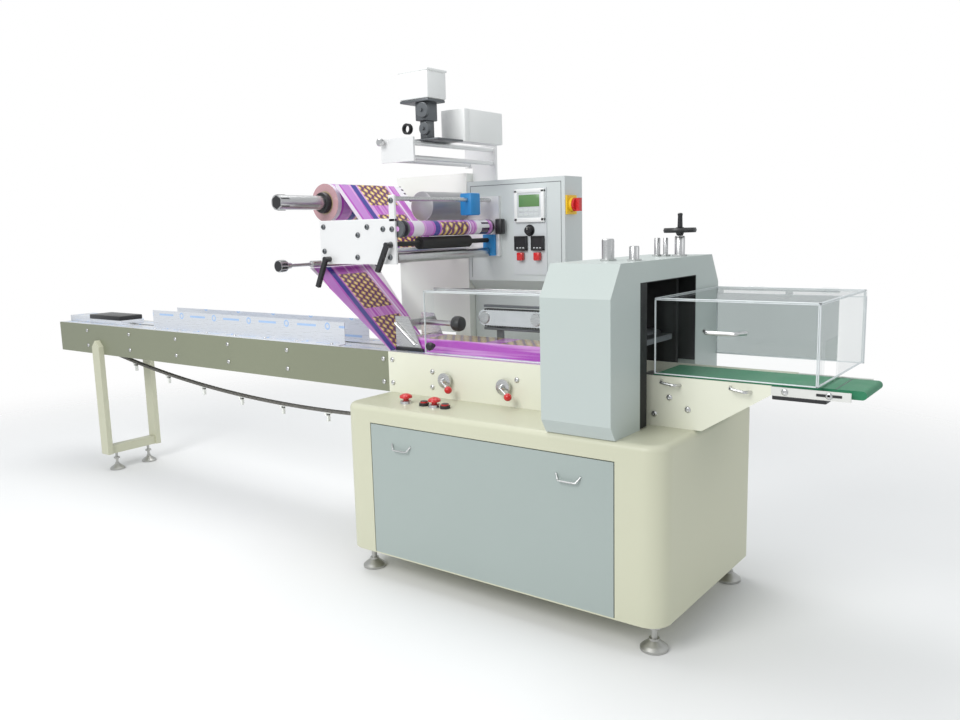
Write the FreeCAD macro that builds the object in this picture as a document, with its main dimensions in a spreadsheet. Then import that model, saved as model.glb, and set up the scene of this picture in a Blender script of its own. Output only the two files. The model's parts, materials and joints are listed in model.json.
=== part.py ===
"""Horizontal flow wrapper: a packing machine that folds film round products and seals it.

Frame: +X towards the discharge end, +Y towards the control box at the rear, +Z up, millimetres.
The origin lies on the floor under the middle of the machine's box.
Every size is a cell of the sheet "Sizes", and every piece is bound to those cells.
"""
import FreeCAD, Part
import math
import os
import re
import Sketcher

doc = FreeCAD.newDocument("flow_wrapper")

# ---------------------------------------------------------------- driving sizes
SIZES = {
    # the machine's box
    "half_length": 1885,
    "half_depth": 380,
    # cabinet
    "cabinet_left": 345,
    "cabinet_right": 1474,
    "cabinet_half_depth": 335,
    "cabinet_floor": 85,
    "cabinet_top": 572,
    "cabinet_corner_radius": 60,
    "cabinet_top_radius": 18,
    "panel_left": 470,
    "panel_right": 1337,
    "panel_top": 516,
    "panel_gap": 3,
    "panel_thickness": 14,
    "panel_lip": 4,
    "grip_left": 595,
    "grip_right": 1202,
    "grip_height": 462,
    "grip_span": 62,
    "grip_drop": 20,
    "grip_wire": 5,
    "grip_reach": 16,
    # adjustable feet
    "foot_left": 395,
    "foot_right": 1424,
    "foot_half_depth": 270,
    "foot_radius": 38,
    "foot_disc": 14,
    "foot_neck": 26,
    "stem_radius": 9,
    # bed and trough
    "plate_outer": 116,
    "plate_thickness": 6,
    "trough_foot": 572,
    "trough_top": 712,
    "bed_seam": 353,
    "bed_knee": 1484,
    "bed_toe": 1666,
    "bed_toe_foot": 688,
    "deck_thickness": 5,
    "slot_half_width": 14,
    "deck_right": 1150,
    "end_plate_thickness": 5,
    # leg frame
    "leg_middle": -1525,
    "leg_width": 60,
    "leg_depth": 25,
    "leg_top": 640,
    "leg_point": 30,
    "bar_foot": 84,
    "bar_size": 40,
    "leg_foot_half_depth": 85,
    "leg_foot_radius": 35,
    "leg_foot_disc": 12,
    "leg_stem_radius": 6,
    # infeed chain
    "tail_axle": -1825,
    "drive_axle": 430,
    "axle_height": 640,
    "sprocket_radius": 42,
    "chain_depth": 9,
    "chain_width": 14,
    "idler_height": 496,
    "sag_radius": 7690,
    "sprocket_shaft": 12,
    "chain_way_half_width": 24,
    "chain_way_right": 500,
    "chain_way_floor": 405,
    "pusher_count": 6,
    "pusher_first": -1420,
    "pusher_pitch": 266,
    "pusher_length": 38,
    "pusher_back": 18,
    "pusher_tip": 7,
    # infeed guides
    "guide_left": -1140,
    "guide_right": 90,
    "guide_inner": 62,
    "guide_height": 82,
    "guide_thickness": 2,
    "guide_flange": 34,
    "end_block_right": -1660,
    "end_block_height": 40,
    "stop_right": -1330,
    "stop_height": 52,
    "stop_gap": 40,
    "stop_half_width": 60,
    # guard over the end sealer
    "guard_left": 1130,
    "guard_right": 1340,
    "guard_half_depth": 355,
    "guard_waist": 330,
    "guard_waist_height": 611,
    "guard_shoulder": 939,
    "guard_ridge": 300,
    "guard_top": 1026,
    "mouth_front": 190,
    "mouth_rear": 180,
    "mouth_top": 970,
    # end sealing jaws
    "jaw_axle": 1238,
    "seal_height": 728,
    "jaw_reach": 62,
    "jaw_gap": 6,
    "jaw_half_width": 100,
    "jaw_blade": 16,
    "jaw_shaft_radius": 22,
    "jaw_journal_radius": 14,
    "jaw_plate_inner": 134,
    "jaw_plate_thickness": 16,
    "jaw_plate_half_length": 60,
    "jaw_plate_top": 960,
    "jaw_way": 6,
    "shaft_clearance": 0.3,
    "running_clearance": 0.05,
    # spring posts on the guard
    "front_posts": -150,
    "rear_posts": 150,
    "post_left": 1223,
    "post_right": 1300,
    "post_radius": 17,
    "post_height": 60,
    "wheel_radius": 46,
    "wheel_thickness": 9,
    "wheel_height": 72,
    "wheel_grip": 46,
    # rear column and control box
    "box_left": 422,
    "box_right": 836,
    "box_front": 265,
    "box_top": 1290,
    "box_sill": 935,
    "box_recess": 34,
    "column_left": 80,
    "column_top": 1322,
    "column_rear": 380,
    "column_sill": 735,
    "column_gap": 2,
    # front of the control box
    "fascia_left": 626,
    "fascia_right": 764,
    "fascia_foot": 957,
    "fascia_top": 1256,
    "fascia_thickness": 3,
    "screen_left": 640,
    "screen_right": 757,
    "screen_foot": 1142,
    "screen_top": 1250,
    "screen_thickness": 8,
    "meter_left": 636,
    "meter_pitch": 70,
    "meter_size": 49,
    "meter_foot": 1042,
    "meter_thickness": 10,
    "button_row": 1021,
    "button_radius": 11,
    "button_reach": 12,
    "dial_height": 1111,
    "dial_radius": 14,
    "switch_middle": 301,
    "switch_height": 1194,
    "switch_size": 64,
    "switch_thickness": 6,
    "switch_boss": 24,
    "switch_knob": 22,
    # buttons on the desk of the cabinet
    "desk_row": -238,
    "desk_first": 538,
    "desk_second": 614,
    "desk_third": 657,
    "desk_fourth": 700,
    "desk_collar": 15,
    "desk_collar_height": 9,
    "mushroom_radius": 20,
    "mushroom_height": 30,
    # film unit
    "frame_inner": 253,
    "frame_thickness": 10,
    "near_left": 203,
    "near_right": 566,
    "near_foot": 1018,
    "near_top": 1158,
    "near_strip": 44,
    "far_left": 330,
    "far_right": 570,
    "far_foot": 1022,
    "frame_top": 1234,
    "turn_axle": 542,
    "turn_height": 1127,
    "turn_radius": 25,
    "grip_axle": 523,
    "grip_axle_height": 1080,
    "grip_roller_radius": 20,
    "grip_half_width": 130,
    "lower_axle": 519,
    "lower_height": 1037,
    "lower_radius": 17,
    "dancer_axle": 424,
    "dancer_height": 1046,
    "dancer_radius": 20,
    "guide_axle": 52,
    "guide_axle_height": 1012,
    "guide_radius": 12,
    "guide_shaft": 6,
    "guide_boss": 16,
    "guide_knob": 20,
    "guide_near": 322,
    "film_half_width": 167,
    "journal_radius": 8,
    "tie_axle": 530,
    "tie_height": 1221,
    "tie_radius": 7,
    "drum_axle": 395,
    "drum_height": 1203,
    "drum_radius": 50,
    "drum_near": 40,
    "reel_axle": 133,
    "reel_height": 1223,
    "reel_radius": 65,
    "reel_core": 38,
    "reel_shaft_radius": 24,
    "reel_shaft_near": 345,
    "hex_radius": 25,
    "web_thickness": 2,
    "web_gap": 1,
    "web_left": 40,
    "web_top": 998,
    "web_right": 345,
    "web_foot": 714,
    "web_foot_half_width": 96,
    "upper_web_left": 186,
    "upper_web_top": 1283,
    "upper_web_right": 396,
    "upper_web_foot": 1047,
    # former, tube and hold-down belts
    "former_left": 350,
    "former_right": 470,
    "former_half_width": 66,
    "former_top": 830,
    "former_thickness": 3,
    "former_bridge": 12,
    "tube_left": 392,
    "tube_right": 1150,
    "tube_half_width": 62,
    "tube_height": 46,
    "hold_left": 628,
    "hold_right": 1110,
    "hold_low": 800,
    "hold_radius": 27,
    "hold_front": 40,
    "hold_width": 22,
    "hold_beam": 24,
    "hold_inset": 60,
    # discharge conveyor
    "belt_left": 1325,
    "belt_half_width": 84,
    "belt_thickness": 3,
    "nose_radius": 11,
    "belt_shaft": 6,
    "belt_inset": 60,
    "rail_foot": 688,
    "rail_right": 1856,
    "rail_step": 2,
    # clear covers
    "clear_thickness": 6,
    "cover_top": 925,
    "exit_cover_left": 1346,
    "exit_cover_right": 1780,
    "exit_cover_rear": 350,
    "exit_half_width": 66,
    "exit_height": 825,
    "fin_cover_left": 521,
    "fin_cover_right": 1122,
    "fin_cover_depth": 70,
    "fin_end_depth": 48,
    "rail_overhang": 15,
    "hinge_way": 12,
    "hinge_post": 20,
    "knuckle_radius": 9,
    "knuckle_length": 44,
    "cover_gap": 5,
    "hinge_radius": 5,
    "left_lever": 246,
    "left_lever_height": 1034,
    "right_lever": 523,
    "right_lever_height": 1078,
    "adjuster_height": 806,
    # hand wheels on the bed
    "knob_left": 613,
    "knob_right": 847,
    "knob_height": 635,
    "knob_radius": 25,
    # coder above the film unit
    "coder_left": 392,
    "coder_right": 531,
    "coder_near": -150,
    "coder_foot": 1340,
    "coder_rail_low": 1352,
    "coder_rail_high": 1398,
    "coder_rail_radius": 8,
    "coder_body_top": 1505,
    "coder_box_left": 433,
    "coder_box_right": 631,
    "coder_box_near": -110,
    "coder_box_far": 20,
    "coder_box_foot": 1513,
    "coder_box_top": 1644,
}

sheet = doc.addObject("Spreadsheet::Sheet", "Sizes")
for row, (alias, size) in enumerate(SIZES.items(), start=1):
    sheet.set(f"A{row}", alias)
    sheet.set(f"B{row}", str(size))
    sheet.setAlias(f"B{row}", alias)
doc.recompute()

ROTATION = {
    "X": FreeCAD.Rotation(FreeCAD.Vector(0, 1, 0), 90),
    "Y": FreeCAD.Rotation(FreeCAD.Vector(1, 0, 0), -90),
    "Z": FreeCAD.Rotation(),
}
GRIP_LEAN = 12
NODES = []
UPPER_JAW = "(seal_height + jaw_gap / 2 + jaw_reach)"
LOWER_JAW = "(seal_height - jaw_gap / 2 - jaw_reach)"

# centre of the arc in which the hanging chain runs, touching the tail wheel and the idler
HALF_X = "((drive_axle - tail_axle) / 2)"
HALF_Z = "((idler_height - axle_height) / 2)"
HALF_CHORD = f"sqrt({HALF_X}^2 + {HALF_Z}^2)"
SAG_RISE = f"sqrt((sag_radius - sprocket_radius)^2 - {HALF_X}^2 - {HALF_Z}^2)"
SAG_X = f"((drive_axle + tail_axle) / 2 - {SAG_RISE} * {HALF_Z} / {HALF_CHORD})"
SAG_Z = f"((axle_height + idler_height) / 2 + {SAG_RISE} * {HALF_X} / {HALF_CHORD})"


# ---------------------------------------------------------------- helpers
def in_sheet(formula):
    """The formula with every name of a size turned into its cell."""
    def cell(match):
        word = match.group(0)
        return f"Sizes.{word}" if word in SIZES else word
    return re.sub(r"[a-z][a-z_0-9]*", cell, str(formula))


def bind(item, prop, formula):
    item.setExpression(prop, in_sheet(formula))


def place(item, spot):
    for axis, formula in zip("xyz", spot):
        bind(item, f"Placement.Base.{axis}", formula)


def block(name, x, y, z):
    """A box between a low and a high plane on each axis."""
    item = doc.addObject("Part::Box", name)
    for prop, (low, high) in zip(("Length", "Width", "Height"), (x, y, z)):
        bind(item, prop, f"({high}) - ({low})")
    place(item, (x[0], y[0], z[0]))
    return item


def rod(name, axis, start, radius, length):
    """A round bar from its start along one axis."""
    item = doc.addObject("Part::Cylinder", name)
    item.Placement.Rotation = ROTATION[axis]
    bind(item, "Radius", radius)
    bind(item, "Height", length)
    place(item, start)
    return item


def cone(name, axis, start, first_radius, last_radius, length):
    item = doc.addObject("Part::Cone", name)
    item.Placement.Rotation = ROTATION[axis]
    bind(item, "Radius1", first_radius)
    bind(item, "Radius2", last_radius)
    bind(item, "Height", length)
    place(item, start)
    return item


def fuse(name, pieces):
    item = doc.addObject("Part::MultiFuse", name)
    item.Shapes = pieces
    item.Refine = True
    return item


def group(name, pieces):
    """Solids that don't touch, kept as one sub-part."""
    item = doc.addObject("Part::Compound", name)
    item.Links = pieces
    return item


def cut(name, base, tool):
    item = doc.addObject("Part::Cut", name)
    item.Base = base
    item.Tool = tool
    return item


def origin_plane(body, role):
    return next(f for f in body.Origin.OriginFeatures if f.Role == role)


def sketch_on(body, name, plane):
    sketch = body.newObject("Sketcher::SketchObject", name)
    sketch.AttachmentSupport = (origin_plane(body, plane), [""])
    sketch.MapMode = "FlatFace"
    return sketch


def numeric(formula):
    """The formula's value now, to start a sketch near its solution."""
    return float(eval_formula(str(formula)))


def eval_formula(formula):
    probe = doc.getObject("Probe") or doc.addObject("App::FeaturePython", "Probe")
    if "Value" not in probe.PropertiesList:
        probe.addProperty("App::PropertyFloat", "Value")
    return probe.evalExpression(in_sheet(formula))


def draw_polygon(sketch, outline):
    """Closed run of lines, each corner held by its two distances from the origin."""
    spots = [FreeCAD.Vector(numeric(u), numeric(v), 0) for u, v in outline]
    first = sketch.GeometryCount
    count = len(spots)
    for index, spot in enumerate(spots):
        sketch.addGeometry(Part.LineSegment(spot, spots[(index + 1) % count]), False)
    for index, (u, v) in enumerate(outline):
        line = first + index
        sketch.addConstraint(Sketcher.Constraint("Coincident", line, 2, first + (index + 1) % count, 1))
        hold_point(sketch, line, 1, u, v, f"{first + index}")


def hold_point(sketch, line, end, u, v, tag):
    for kind, formula, letter in (("DistanceX", u, "u"), ("DistanceY", v, "v")):
        number = sketch.addConstraint(Sketcher.Constraint(kind, -1, 1, line, end, numeric(formula)))
        sketch.renameConstraint(number, f"{letter}{tag}")
        sketch.setExpression(f"Constraints.{letter}{tag}", in_sheet(formula))


def draw_circle(sketch, centre, radius):
    spot = FreeCAD.Vector(numeric(centre[0]), numeric(centre[1]), 0)
    number = sketch.addGeometry(Part.Circle(spot, FreeCAD.Vector(0, 0, 1), numeric(radius)), False)
    hold_point(sketch, number, 3, centre[0], centre[1], f"{number}")
    size = sketch.addConstraint(Sketcher.Constraint("Radius", number, numeric(radius)))
    sketch.renameConstraint(size, f"r{number}")
    sketch.setExpression(f"Constraints.r{number}", in_sheet(radius))


NORMAL = {"XY_Plane": 2, "XZ_Plane": 1, "YZ_Plane": 0}


def prism(name, plane, outline, start, thickness, holes=()):
    """A profile on a plane, padded along the plane's axis from its start."""
    body = doc.addObject("PartDesign::Body", name)
    sketch = sketch_on(body, f"{name}_profile", plane)
    draw_polygon(sketch, outline)
    for centre_u, centre_v, radius in holes:
        draw_circle(sketch, (centre_u, centre_v), radius)
    pad = body.newObject("PartDesign::Pad", f"{name}_pad")
    pad.Profile = sketch
    pad.Reversed = plane == "XZ_Plane"
    bind(pad, "Length", thickness)
    spot = ["0", "0", "0"]
    spot[NORMAL[plane]] = start
    place(body, spot)
    return body


def turned(name, axis, centre, profile):
    """A solid of revolution about one axis: the profile is (along, radius) from the centre."""
    body = doc.addObject("PartDesign::Body", name)
    plane = "YZ_Plane" if axis == "Y" else "XZ_Plane"
    sketch = sketch_on(body, f"{name}_profile", plane)
    outline = [(profile[0][0], "0")] + list(profile) + [(profile[-1][0], "0")]
    if axis == "Z":
        outline = [(radius, along) for along, radius in outline]
    draw_polygon(sketch, outline)
    turn = body.newObject("PartDesign::Revolution", f"{name}_turn")
    turn.Profile = sketch
    turn.ReferenceAxis = (sketch, ["V_Axis" if axis == "Z" else "H_Axis"])
    turn.Angle = 360
    place(body, centre)
    return body


def round_edges(body, radius, chosen, tag="round"):
    """Round the edges of the body's last feature that the test picks."""
    doc.recompute()
    base = body.Tip
    names = [f"Edge{n}" for n, edge in enumerate(base.Shape.Edges, 1) if chosen(edge)]
    fillet = body.newObject("PartDesign::Fillet", f"{body.Name}_{tag}")
    fillet.Base = (base, names)
    bind(fillet, "Radius", radius)
    return fillet


def runs_along(edge, axis):
    """True where a straight edge runs along the axis."""
    ends = [vertex.Point for vertex in edge.Vertexes]
    if len(ends) < 2:
        return False
    run = (ends[1] - ends[0]).normalize()
    return abs(run[axis]) > 0.999


def node(item):
    """Keep the item as a sub-part of the machine."""
    NODES.append(item)
    return item


# ---------------------------------------------------------------- cabinet
def make_cabinet():
    body = doc.addObject("PartDesign::Body", "cabinet_housing")
    sketch = sketch_on(body, "cabinet_plan", "XY_Plane")
    draw_polygon(sketch, [
        ("cabinet_left", "-cabinet_half_depth"),
        ("cabinet_right", "-cabinet_half_depth"),
        ("cabinet_right", "cabinet_half_depth"),
        ("cabinet_left", "cabinet_half_depth"),
    ])
    pad = body.newObject("PartDesign::Pad", "cabinet_pad")
    pad.Profile = sketch
    bind(pad, "Length", "cabinet_top - cabinet_floor")
    place(body, ("0", "0", "cabinet_floor"))
    round_edges(body, "cabinet_corner_radius", lambda edge: runs_along(edge, 2), "corners")
    top = SIZES["cabinet_top"] - SIZES["cabinet_floor"]
    round_edges(body, "cabinet_top_radius",
                lambda edge: all(abs(v.Z - top) < 0.1 for v in edge.Vertexes), "rim")
    recesses = []
    for side, near in (("front", "-cabinet_half_depth"), ("rear", "cabinet_half_depth - panel_thickness")):
        recesses.append(block(
            f"{side}_recess",
            ("panel_left - panel_gap", "panel_right + panel_gap"),
            (near, f"{near} + panel_thickness"),
            ("cabinet_floor + panel_lip", "panel_top + panel_gap")))
    chain_way = block("chain_way", ("cabinet_left", "chain_way_right"),
                      ("-chain_way_half_width", "chain_way_half_width"),
                      ("chain_way_floor", "cabinet_top"))
    hollow = doc.addObject("Part::MultiFuse", "cabinet_hollows")
    hollow.Shapes = recesses + [chain_way]
    node(cut("cabinet", body, hollow))


def make_grips(side, outward):
    """Half-moon grips: a bent wire that hangs from the panel's face, leaning out a little."""
    face = f"{outward} * cabinet_half_depth"
    grips = []
    for spot in ("grip_left", "grip_right"):
        grip = doc.addObject("Part::Torus", f"{side}_{spot}_bow")
        bind(grip, "Radius1", "grip_span / 2")
        bind(grip, "Radius2", "grip_wire / 2")
        grip.Angle3 = 180
        grip.Placement.Rotation = FreeCAD.Rotation(FreeCAD.Vector(1, 0, 0), GRIP_LEAN * outward - 90)
        place(grip, (spot, f"{face} + {outward} * (grip_wire / 2 + 0.3)", "grip_height"))
        grips.append(grip)
    return grips


def make_panels():
    node(group("cabinet_panels", [
        block(f"{side}_panel", ("panel_left", "panel_right"), (near, f"{near} + panel_thickness"),
              ("cabinet_floor + panel_lip", "panel_top"))
        for side, near in (("front", "-cabinet_half_depth"),
                           ("rear", "cabinet_half_depth - panel_thickness"))]))
    node(group("panel_grips", make_grips("front", -1) + make_grips("rear", 1)))


def foot(name, spot, radius, disc, neck, stem, top):
    """Levelling foot: a flat disc, a sloping collar and a threaded stem up to what it carries."""
    return turned(name, "Z", spot, [
        ("0", radius), (f"{disc} / 2", radius), (disc, f"{radius} * 0.8"),
        (neck, f"{stem} * 1.6"), (f"{neck} + 6", f"{stem} * 1.6"), (f"{neck} + 6", stem), (top, stem)])


def make_cabinet_feet():
    feet = []
    for x in ("foot_left", "foot_right"):
        for sign in ("-", ""):
            name = f"cabinet_{x}_{'front' if sign else 'rear'}"
            feet.append(foot(name, (x, f"{sign}foot_half_depth", "0"), "foot_radius", "foot_disc",
                             "foot_neck", "stem_radius", "cabinet_floor"))
    return feet


# ---------------------------------------------------------------- bed and trough
def make_bed():
    outline = [
        ("bed_seam", "trough_foot"), ("bed_knee", "trough_foot"), ("bed_toe", "bed_toe_foot"),
        ("bed_toe", "trough_top"), ("bed_seam", "trough_top"),
    ]
    way = [("jaw_axle", LOWER_JAW, "jaw_journal_radius + jaw_way")]
    inner = "plate_outer - plate_thickness"
    node(prism("bed_front_plate", "XZ_Plane", outline, "-plate_outer", "plate_thickness", way))
    node(prism("bed_rear_plate", "XZ_Plane", outline, inner, "plate_thickness", way))
    node(group("bed_deck", deck_halves("bed", "bed_seam", "deck_right", inner)))


def deck_halves(name, left, right, inner):
    """Two top plates with the pusher slot between them."""
    level = ("trough_top - deck_thickness", "trough_top")
    return [
        block(f"{name}_front_deck", (left, right), (f"-({inner})", "-slot_half_width"), level),
        block(f"{name}_rear_deck", (left, right), ("slot_half_width", inner), level),
    ]


def make_trough():
    left = "-half_length"
    side = (left, "bed_seam")
    level = ("trough_foot", "trough_top")
    inner = "plate_outer - plate_thickness"
    node(block("infeed_front_plate", side, ("-plate_outer", f"-({inner})"), level))
    node(block("infeed_rear_plate", side, (inner, "plate_outer"), level))
    node(group("infeed_deck", deck_halves("infeed", f"{left} + end_plate_thickness", "bed_seam", inner)))
    node(block("infeed_end_plate", (left, f"{left} + end_plate_thickness"), (f"-({inner})", inner),
               level))


def make_leg():
    low = "leg_middle - leg_width / 2"
    high = "leg_middle + leg_width / 2"
    outline = [(low, "bar_foot"), (high, "bar_foot"), (high, "leg_top - leg_point"),
               ("leg_middle", "leg_top"), (low, "leg_top - leg_point")]
    node(fuse("leg_frame", [
        prism("leg_front_post", "XZ_Plane", outline, "-plate_outer - leg_depth", "leg_depth"),
        prism("leg_rear_post", "XZ_Plane", outline, "plate_outer", "leg_depth"),
        block("leg_crossbar", ("leg_middle - bar_size / 2", "leg_middle + bar_size / 2"),
              ("-plate_outer", "plate_outer"), ("bar_foot", "bar_foot + bar_size"))]))
    feet = [foot(f"leg_foot_{'front' if sign else 'rear'}",
                 ("leg_middle", f"{sign}leg_foot_half_depth", "0"),
                 "leg_foot_radius", "leg_foot_disc", "foot_neck", "leg_stem_radius", "bar_foot")
            for sign in ("-", "")]
    node(group("levelling_feet", feet + make_cabinet_feet()))


# ---------------------------------------------------------------- guard and jaws
def make_guard():
    depth = "guard_right - guard_left"
    front = [("-guard_waist", "cabinet_top"), ("-mouth_front", "cabinet_top"), ("-mouth_front", "mouth_top"),
             ("-guard_ridge", "guard_top"), ("-guard_half_depth", "guard_shoulder"),
             ("-guard_half_depth", "guard_waist_height")]
    rear = [("mouth_rear", "cabinet_top"), ("guard_waist", "cabinet_top"),
            ("guard_half_depth", "guard_waist_height"), ("guard_half_depth", "guard_shoulder"),
            ("guard_ridge", "guard_top"), ("mouth_rear", "mouth_top")]
    hood = [("-mouth_front", "mouth_top"), ("mouth_rear", "mouth_top"), ("guard_ridge", "guard_top"),
            ("-guard_ridge", "guard_top")]
    node(prism("guard_front_column", "YZ_Plane", front, "guard_left", depth))
    node(prism("guard_rear_column", "YZ_Plane", rear, "guard_left", depth))
    node(prism("guard_hood", "YZ_Plane", hood, "guard_left", depth))


def jaw(name, height):
    """A sealing roll: a shaft with journals and two opposite crimping bars."""
    half = "jaw_half_width"
    journal = "jaw_plate_inner + jaw_plate_thickness"
    core = rod(f"{name}_core", "Y", ("jaw_axle", f"-{half}", height), "jaw_shaft_radius", f"2 * {half}")
    journals = rod(f"{name}_journals", "Y", ("jaw_axle", f"-({journal})", height), "jaw_journal_radius",
                   f"2 * ({journal})")
    bars = block(f"{name}_bars", ("jaw_axle - jaw_reach", "jaw_axle + jaw_reach"),
                 (f"-{half}", half), (f"{height} - jaw_blade / 2", f"{height} + jaw_blade / 2"))
    return fuse(name, [core, journals, bars])


def make_jaws():
    plates = []
    for side, near in (("front", "-jaw_plate_inner - jaw_plate_thickness"), ("rear", "jaw_plate_inner")):
        holes = [("jaw_axle", height, "jaw_journal_radius + running_clearance")
                 for height in (UPPER_JAW, LOWER_JAW)]
        outline = [("jaw_axle - jaw_plate_half_length", "cabinet_top"),
                   ("jaw_axle + jaw_plate_half_length", "cabinet_top"),
                   ("jaw_axle + jaw_plate_half_length", "jaw_plate_top"),
                   ("jaw_axle - jaw_plate_half_length", "jaw_plate_top")]
        plates.append(prism(f"jaw_{side}_plate", "XZ_Plane", outline, near, "jaw_plate_thickness", holes))
    node(group("jaw_plates", plates))
    node(jaw("upper_jaw", UPPER_JAW))
    node(jaw("lower_jaw", LOWER_JAW))


def make_posts():
    posts = []
    for x in ("post_left", "post_right"):
        for y in ("front_posts", "rear_posts"):
            posts.append(rod(f"{x}_{y}", "Z", (x, y, "guard_top"), "post_radius", "post_height"))
    node(group("spring_posts", posts))
    wheel = rod("top_wheel_disc", "Z", ("post_right", "rear_posts", "guard_top + wheel_height"),
                "wheel_radius", "wheel_thickness")
    hub = rod("top_wheel_hub", "Z", ("post_right", "rear_posts", "guard_top + post_height + 0.3"),
              "post_radius", "wheel_height - post_height")
    grip = rod("top_wheel_grip", "Z",
               ("post_right - wheel_radius * 0.7", "rear_posts", "guard_top + wheel_height"), "7",
               "wheel_thickness + wheel_grip")
    node(fuse("top_handwheel", [wheel, hub, grip]))


# ---------------------------------------------------------------- control box
def make_control_box():
    rear = "half_depth"
    outline = [("box_front", "box_sill"), ("box_front + box_recess", "box_sill - box_recess"),
               ("box_front + box_recess", "cabinet_top"), ("cabinet_half_depth", "cabinet_top"),
               (rear, "cabinet_top + 60"), (rear, "box_top"), ("box_front", "box_top")]
    node(prism("control_box", "YZ_Plane", outline, "box_left", "box_right - box_left"))
    column = [("column_left", "column_sill"), ("cabinet_left + 5", "column_sill"),
              ("cabinet_left + 5", "cabinet_top"), ("box_left - column_gap", "cabinet_top"),
              ("box_left - column_gap", "column_top"), ("column_left", "column_top")]
    node(prism("rear_column", "XZ_Plane", column, "box_front", "column_rear - box_front"))
    face = "box_front"
    skin = f"({face} - fascia_thickness)"
    node(block("control_fascia", ("fascia_left", "fascia_right"), (skin, face),
               ("fascia_foot", "fascia_top")))
    node(block("operator_screen", ("screen_left", "screen_right"), (f"{skin} - screen_thickness", skin),
               ("screen_foot", "screen_top")))
    meters = [block(f"meter_{n}", (f"meter_left + {n} * meter_pitch", f"meter_left + meter_size + {n} * meter_pitch"),
                    (f"{skin} - meter_thickness", skin), ("meter_foot", "meter_foot + meter_size"))
              for n in range(2)]
    buttons = [rod(f"fascia_button_{n}", "Y",
                   (f"meter_left + meter_size / 2 + {n} * meter_pitch", f"{skin} - button_reach", "button_row"),
                   "button_radius", "button_reach") for n in range(2)]
    buttons.append(rod("fascia_dial", "Y", ("(fascia_left + fascia_right) / 2", f"{skin} - button_reach",
                                            "dial_height"), "dial_radius", "button_reach"))
    node(group("fascia_instruments", meters + buttons))


def make_main_switch():
    half = "switch_size / 2"
    plate = block("switch_backplate", ("box_right", "box_right + switch_thickness"),
                  (f"switch_middle - {half}", f"switch_middle + {half}"),
                  (f"switch_height - {half}", f"switch_height + {half}"))
    boss = rod("switch_boss_ring", "X", ("box_right + switch_thickness", "switch_middle", "switch_height"),
               "switch_boss", "10")
    node(fuse("main_switch_plate", [plate, boss]))
    start = "box_right + switch_thickness + 10.3"
    knob = rod("switch_knob_disc", "X", (start, "switch_middle", "switch_height"), "switch_knob", "8")
    bar = block("switch_knob_bar", (start, f"{start} + 24"), ("switch_middle - 8", "switch_middle + 8"),
                ("switch_height - switch_knob", "switch_height + switch_knob"))
    node(fuse("main_switch_knob", [knob, bar]))


def make_desk_buttons():
    buttons = []
    for n, x in enumerate(("desk_first", "desk_second", "desk_third", "desk_fourth")):
        spot = (x, "desk_row", "cabinet_top")
        if n % 2 == 0:
            buttons.append(turned(f"mushroom_{n}", "Z", spot, [
                ("0", "desk_collar"), ("desk_collar_height", "desk_collar"),
                ("desk_collar_height", "desk_collar * 0.6"),
                ("mushroom_height - 14", "desk_collar * 0.6"), ("mushroom_height - 12", "mushroom_radius"),
                ("mushroom_height - 5", "mushroom_radius"), ("mushroom_height", "mushroom_radius * 0.6")]))
        else:
            buttons.append(turned(f"flat_button_{n}", "Z", spot, [
                ("0", "desk_collar"), ("desk_collar_height", "desk_collar"),
                ("desk_collar_height", "desk_collar * 0.8"),
                ("desk_collar_height + 5", "desk_collar * 0.8")]))
    node(group("desk_buttons", buttons))


# ---------------------------------------------------------------- film unit
def make_film_frame():
    near = [("near_left", "near_foot"), ("near_right", "near_foot"), ("near_right", "frame_top"),
            ("near_right - near_strip", "frame_top"), ("near_right - near_strip", "near_top"),
            ("near_left", "near_top")]
    far = [("far_left", "far_foot"), ("far_right", "far_foot"), ("far_right", "frame_top"),
           ("far_left", "frame_top")]
    node(prism("film_near_plate", "XZ_Plane", near, "-frame_inner - frame_thickness", "frame_thickness"))
    node(prism("film_far_plate", "XZ_Plane", far, "frame_inner", "box_front - frame_inner"))
    node(group("film_frame_bars", [
        rod("film_tie_bar", "Y", ("tie_axle", "-frame_inner", "tie_height"), "tie_radius",
            "2 * frame_inner"),
        rod("film_drum", "Y", ("drum_axle", "drum_near", "drum_height"), "drum_radius",
            "frame_inner - drum_near"),
        prism("guide_arm", "XZ_Plane", [
            ("guide_axle - guide_boss", "guide_axle_height - guide_boss"),
            ("column_left + guide_boss", "guide_axle_height - guide_boss"),
            ("column_left + guide_boss", "guide_axle_height + guide_boss"),
            ("guide_axle - guide_boss", "guide_axle_height + guide_boss")],
            "frame_inner", "box_front - frame_inner",
            [("guide_axle", "guide_axle_height", "guide_shaft + running_clearance")])]))


def roller(name, x, z, radius, half_width):
    """A roller on its shaft between the two plates."""
    shaft = "frame_inner - shaft_clearance"
    return turned(name, "Y", (x, "0", z), [
        (f"-({shaft})", "journal_radius"), (f"-({half_width})", "journal_radius"),
        (f"-({half_width})", radius), (half_width, radius), (half_width, "journal_radius"),
        (shaft, "journal_radius")])


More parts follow.
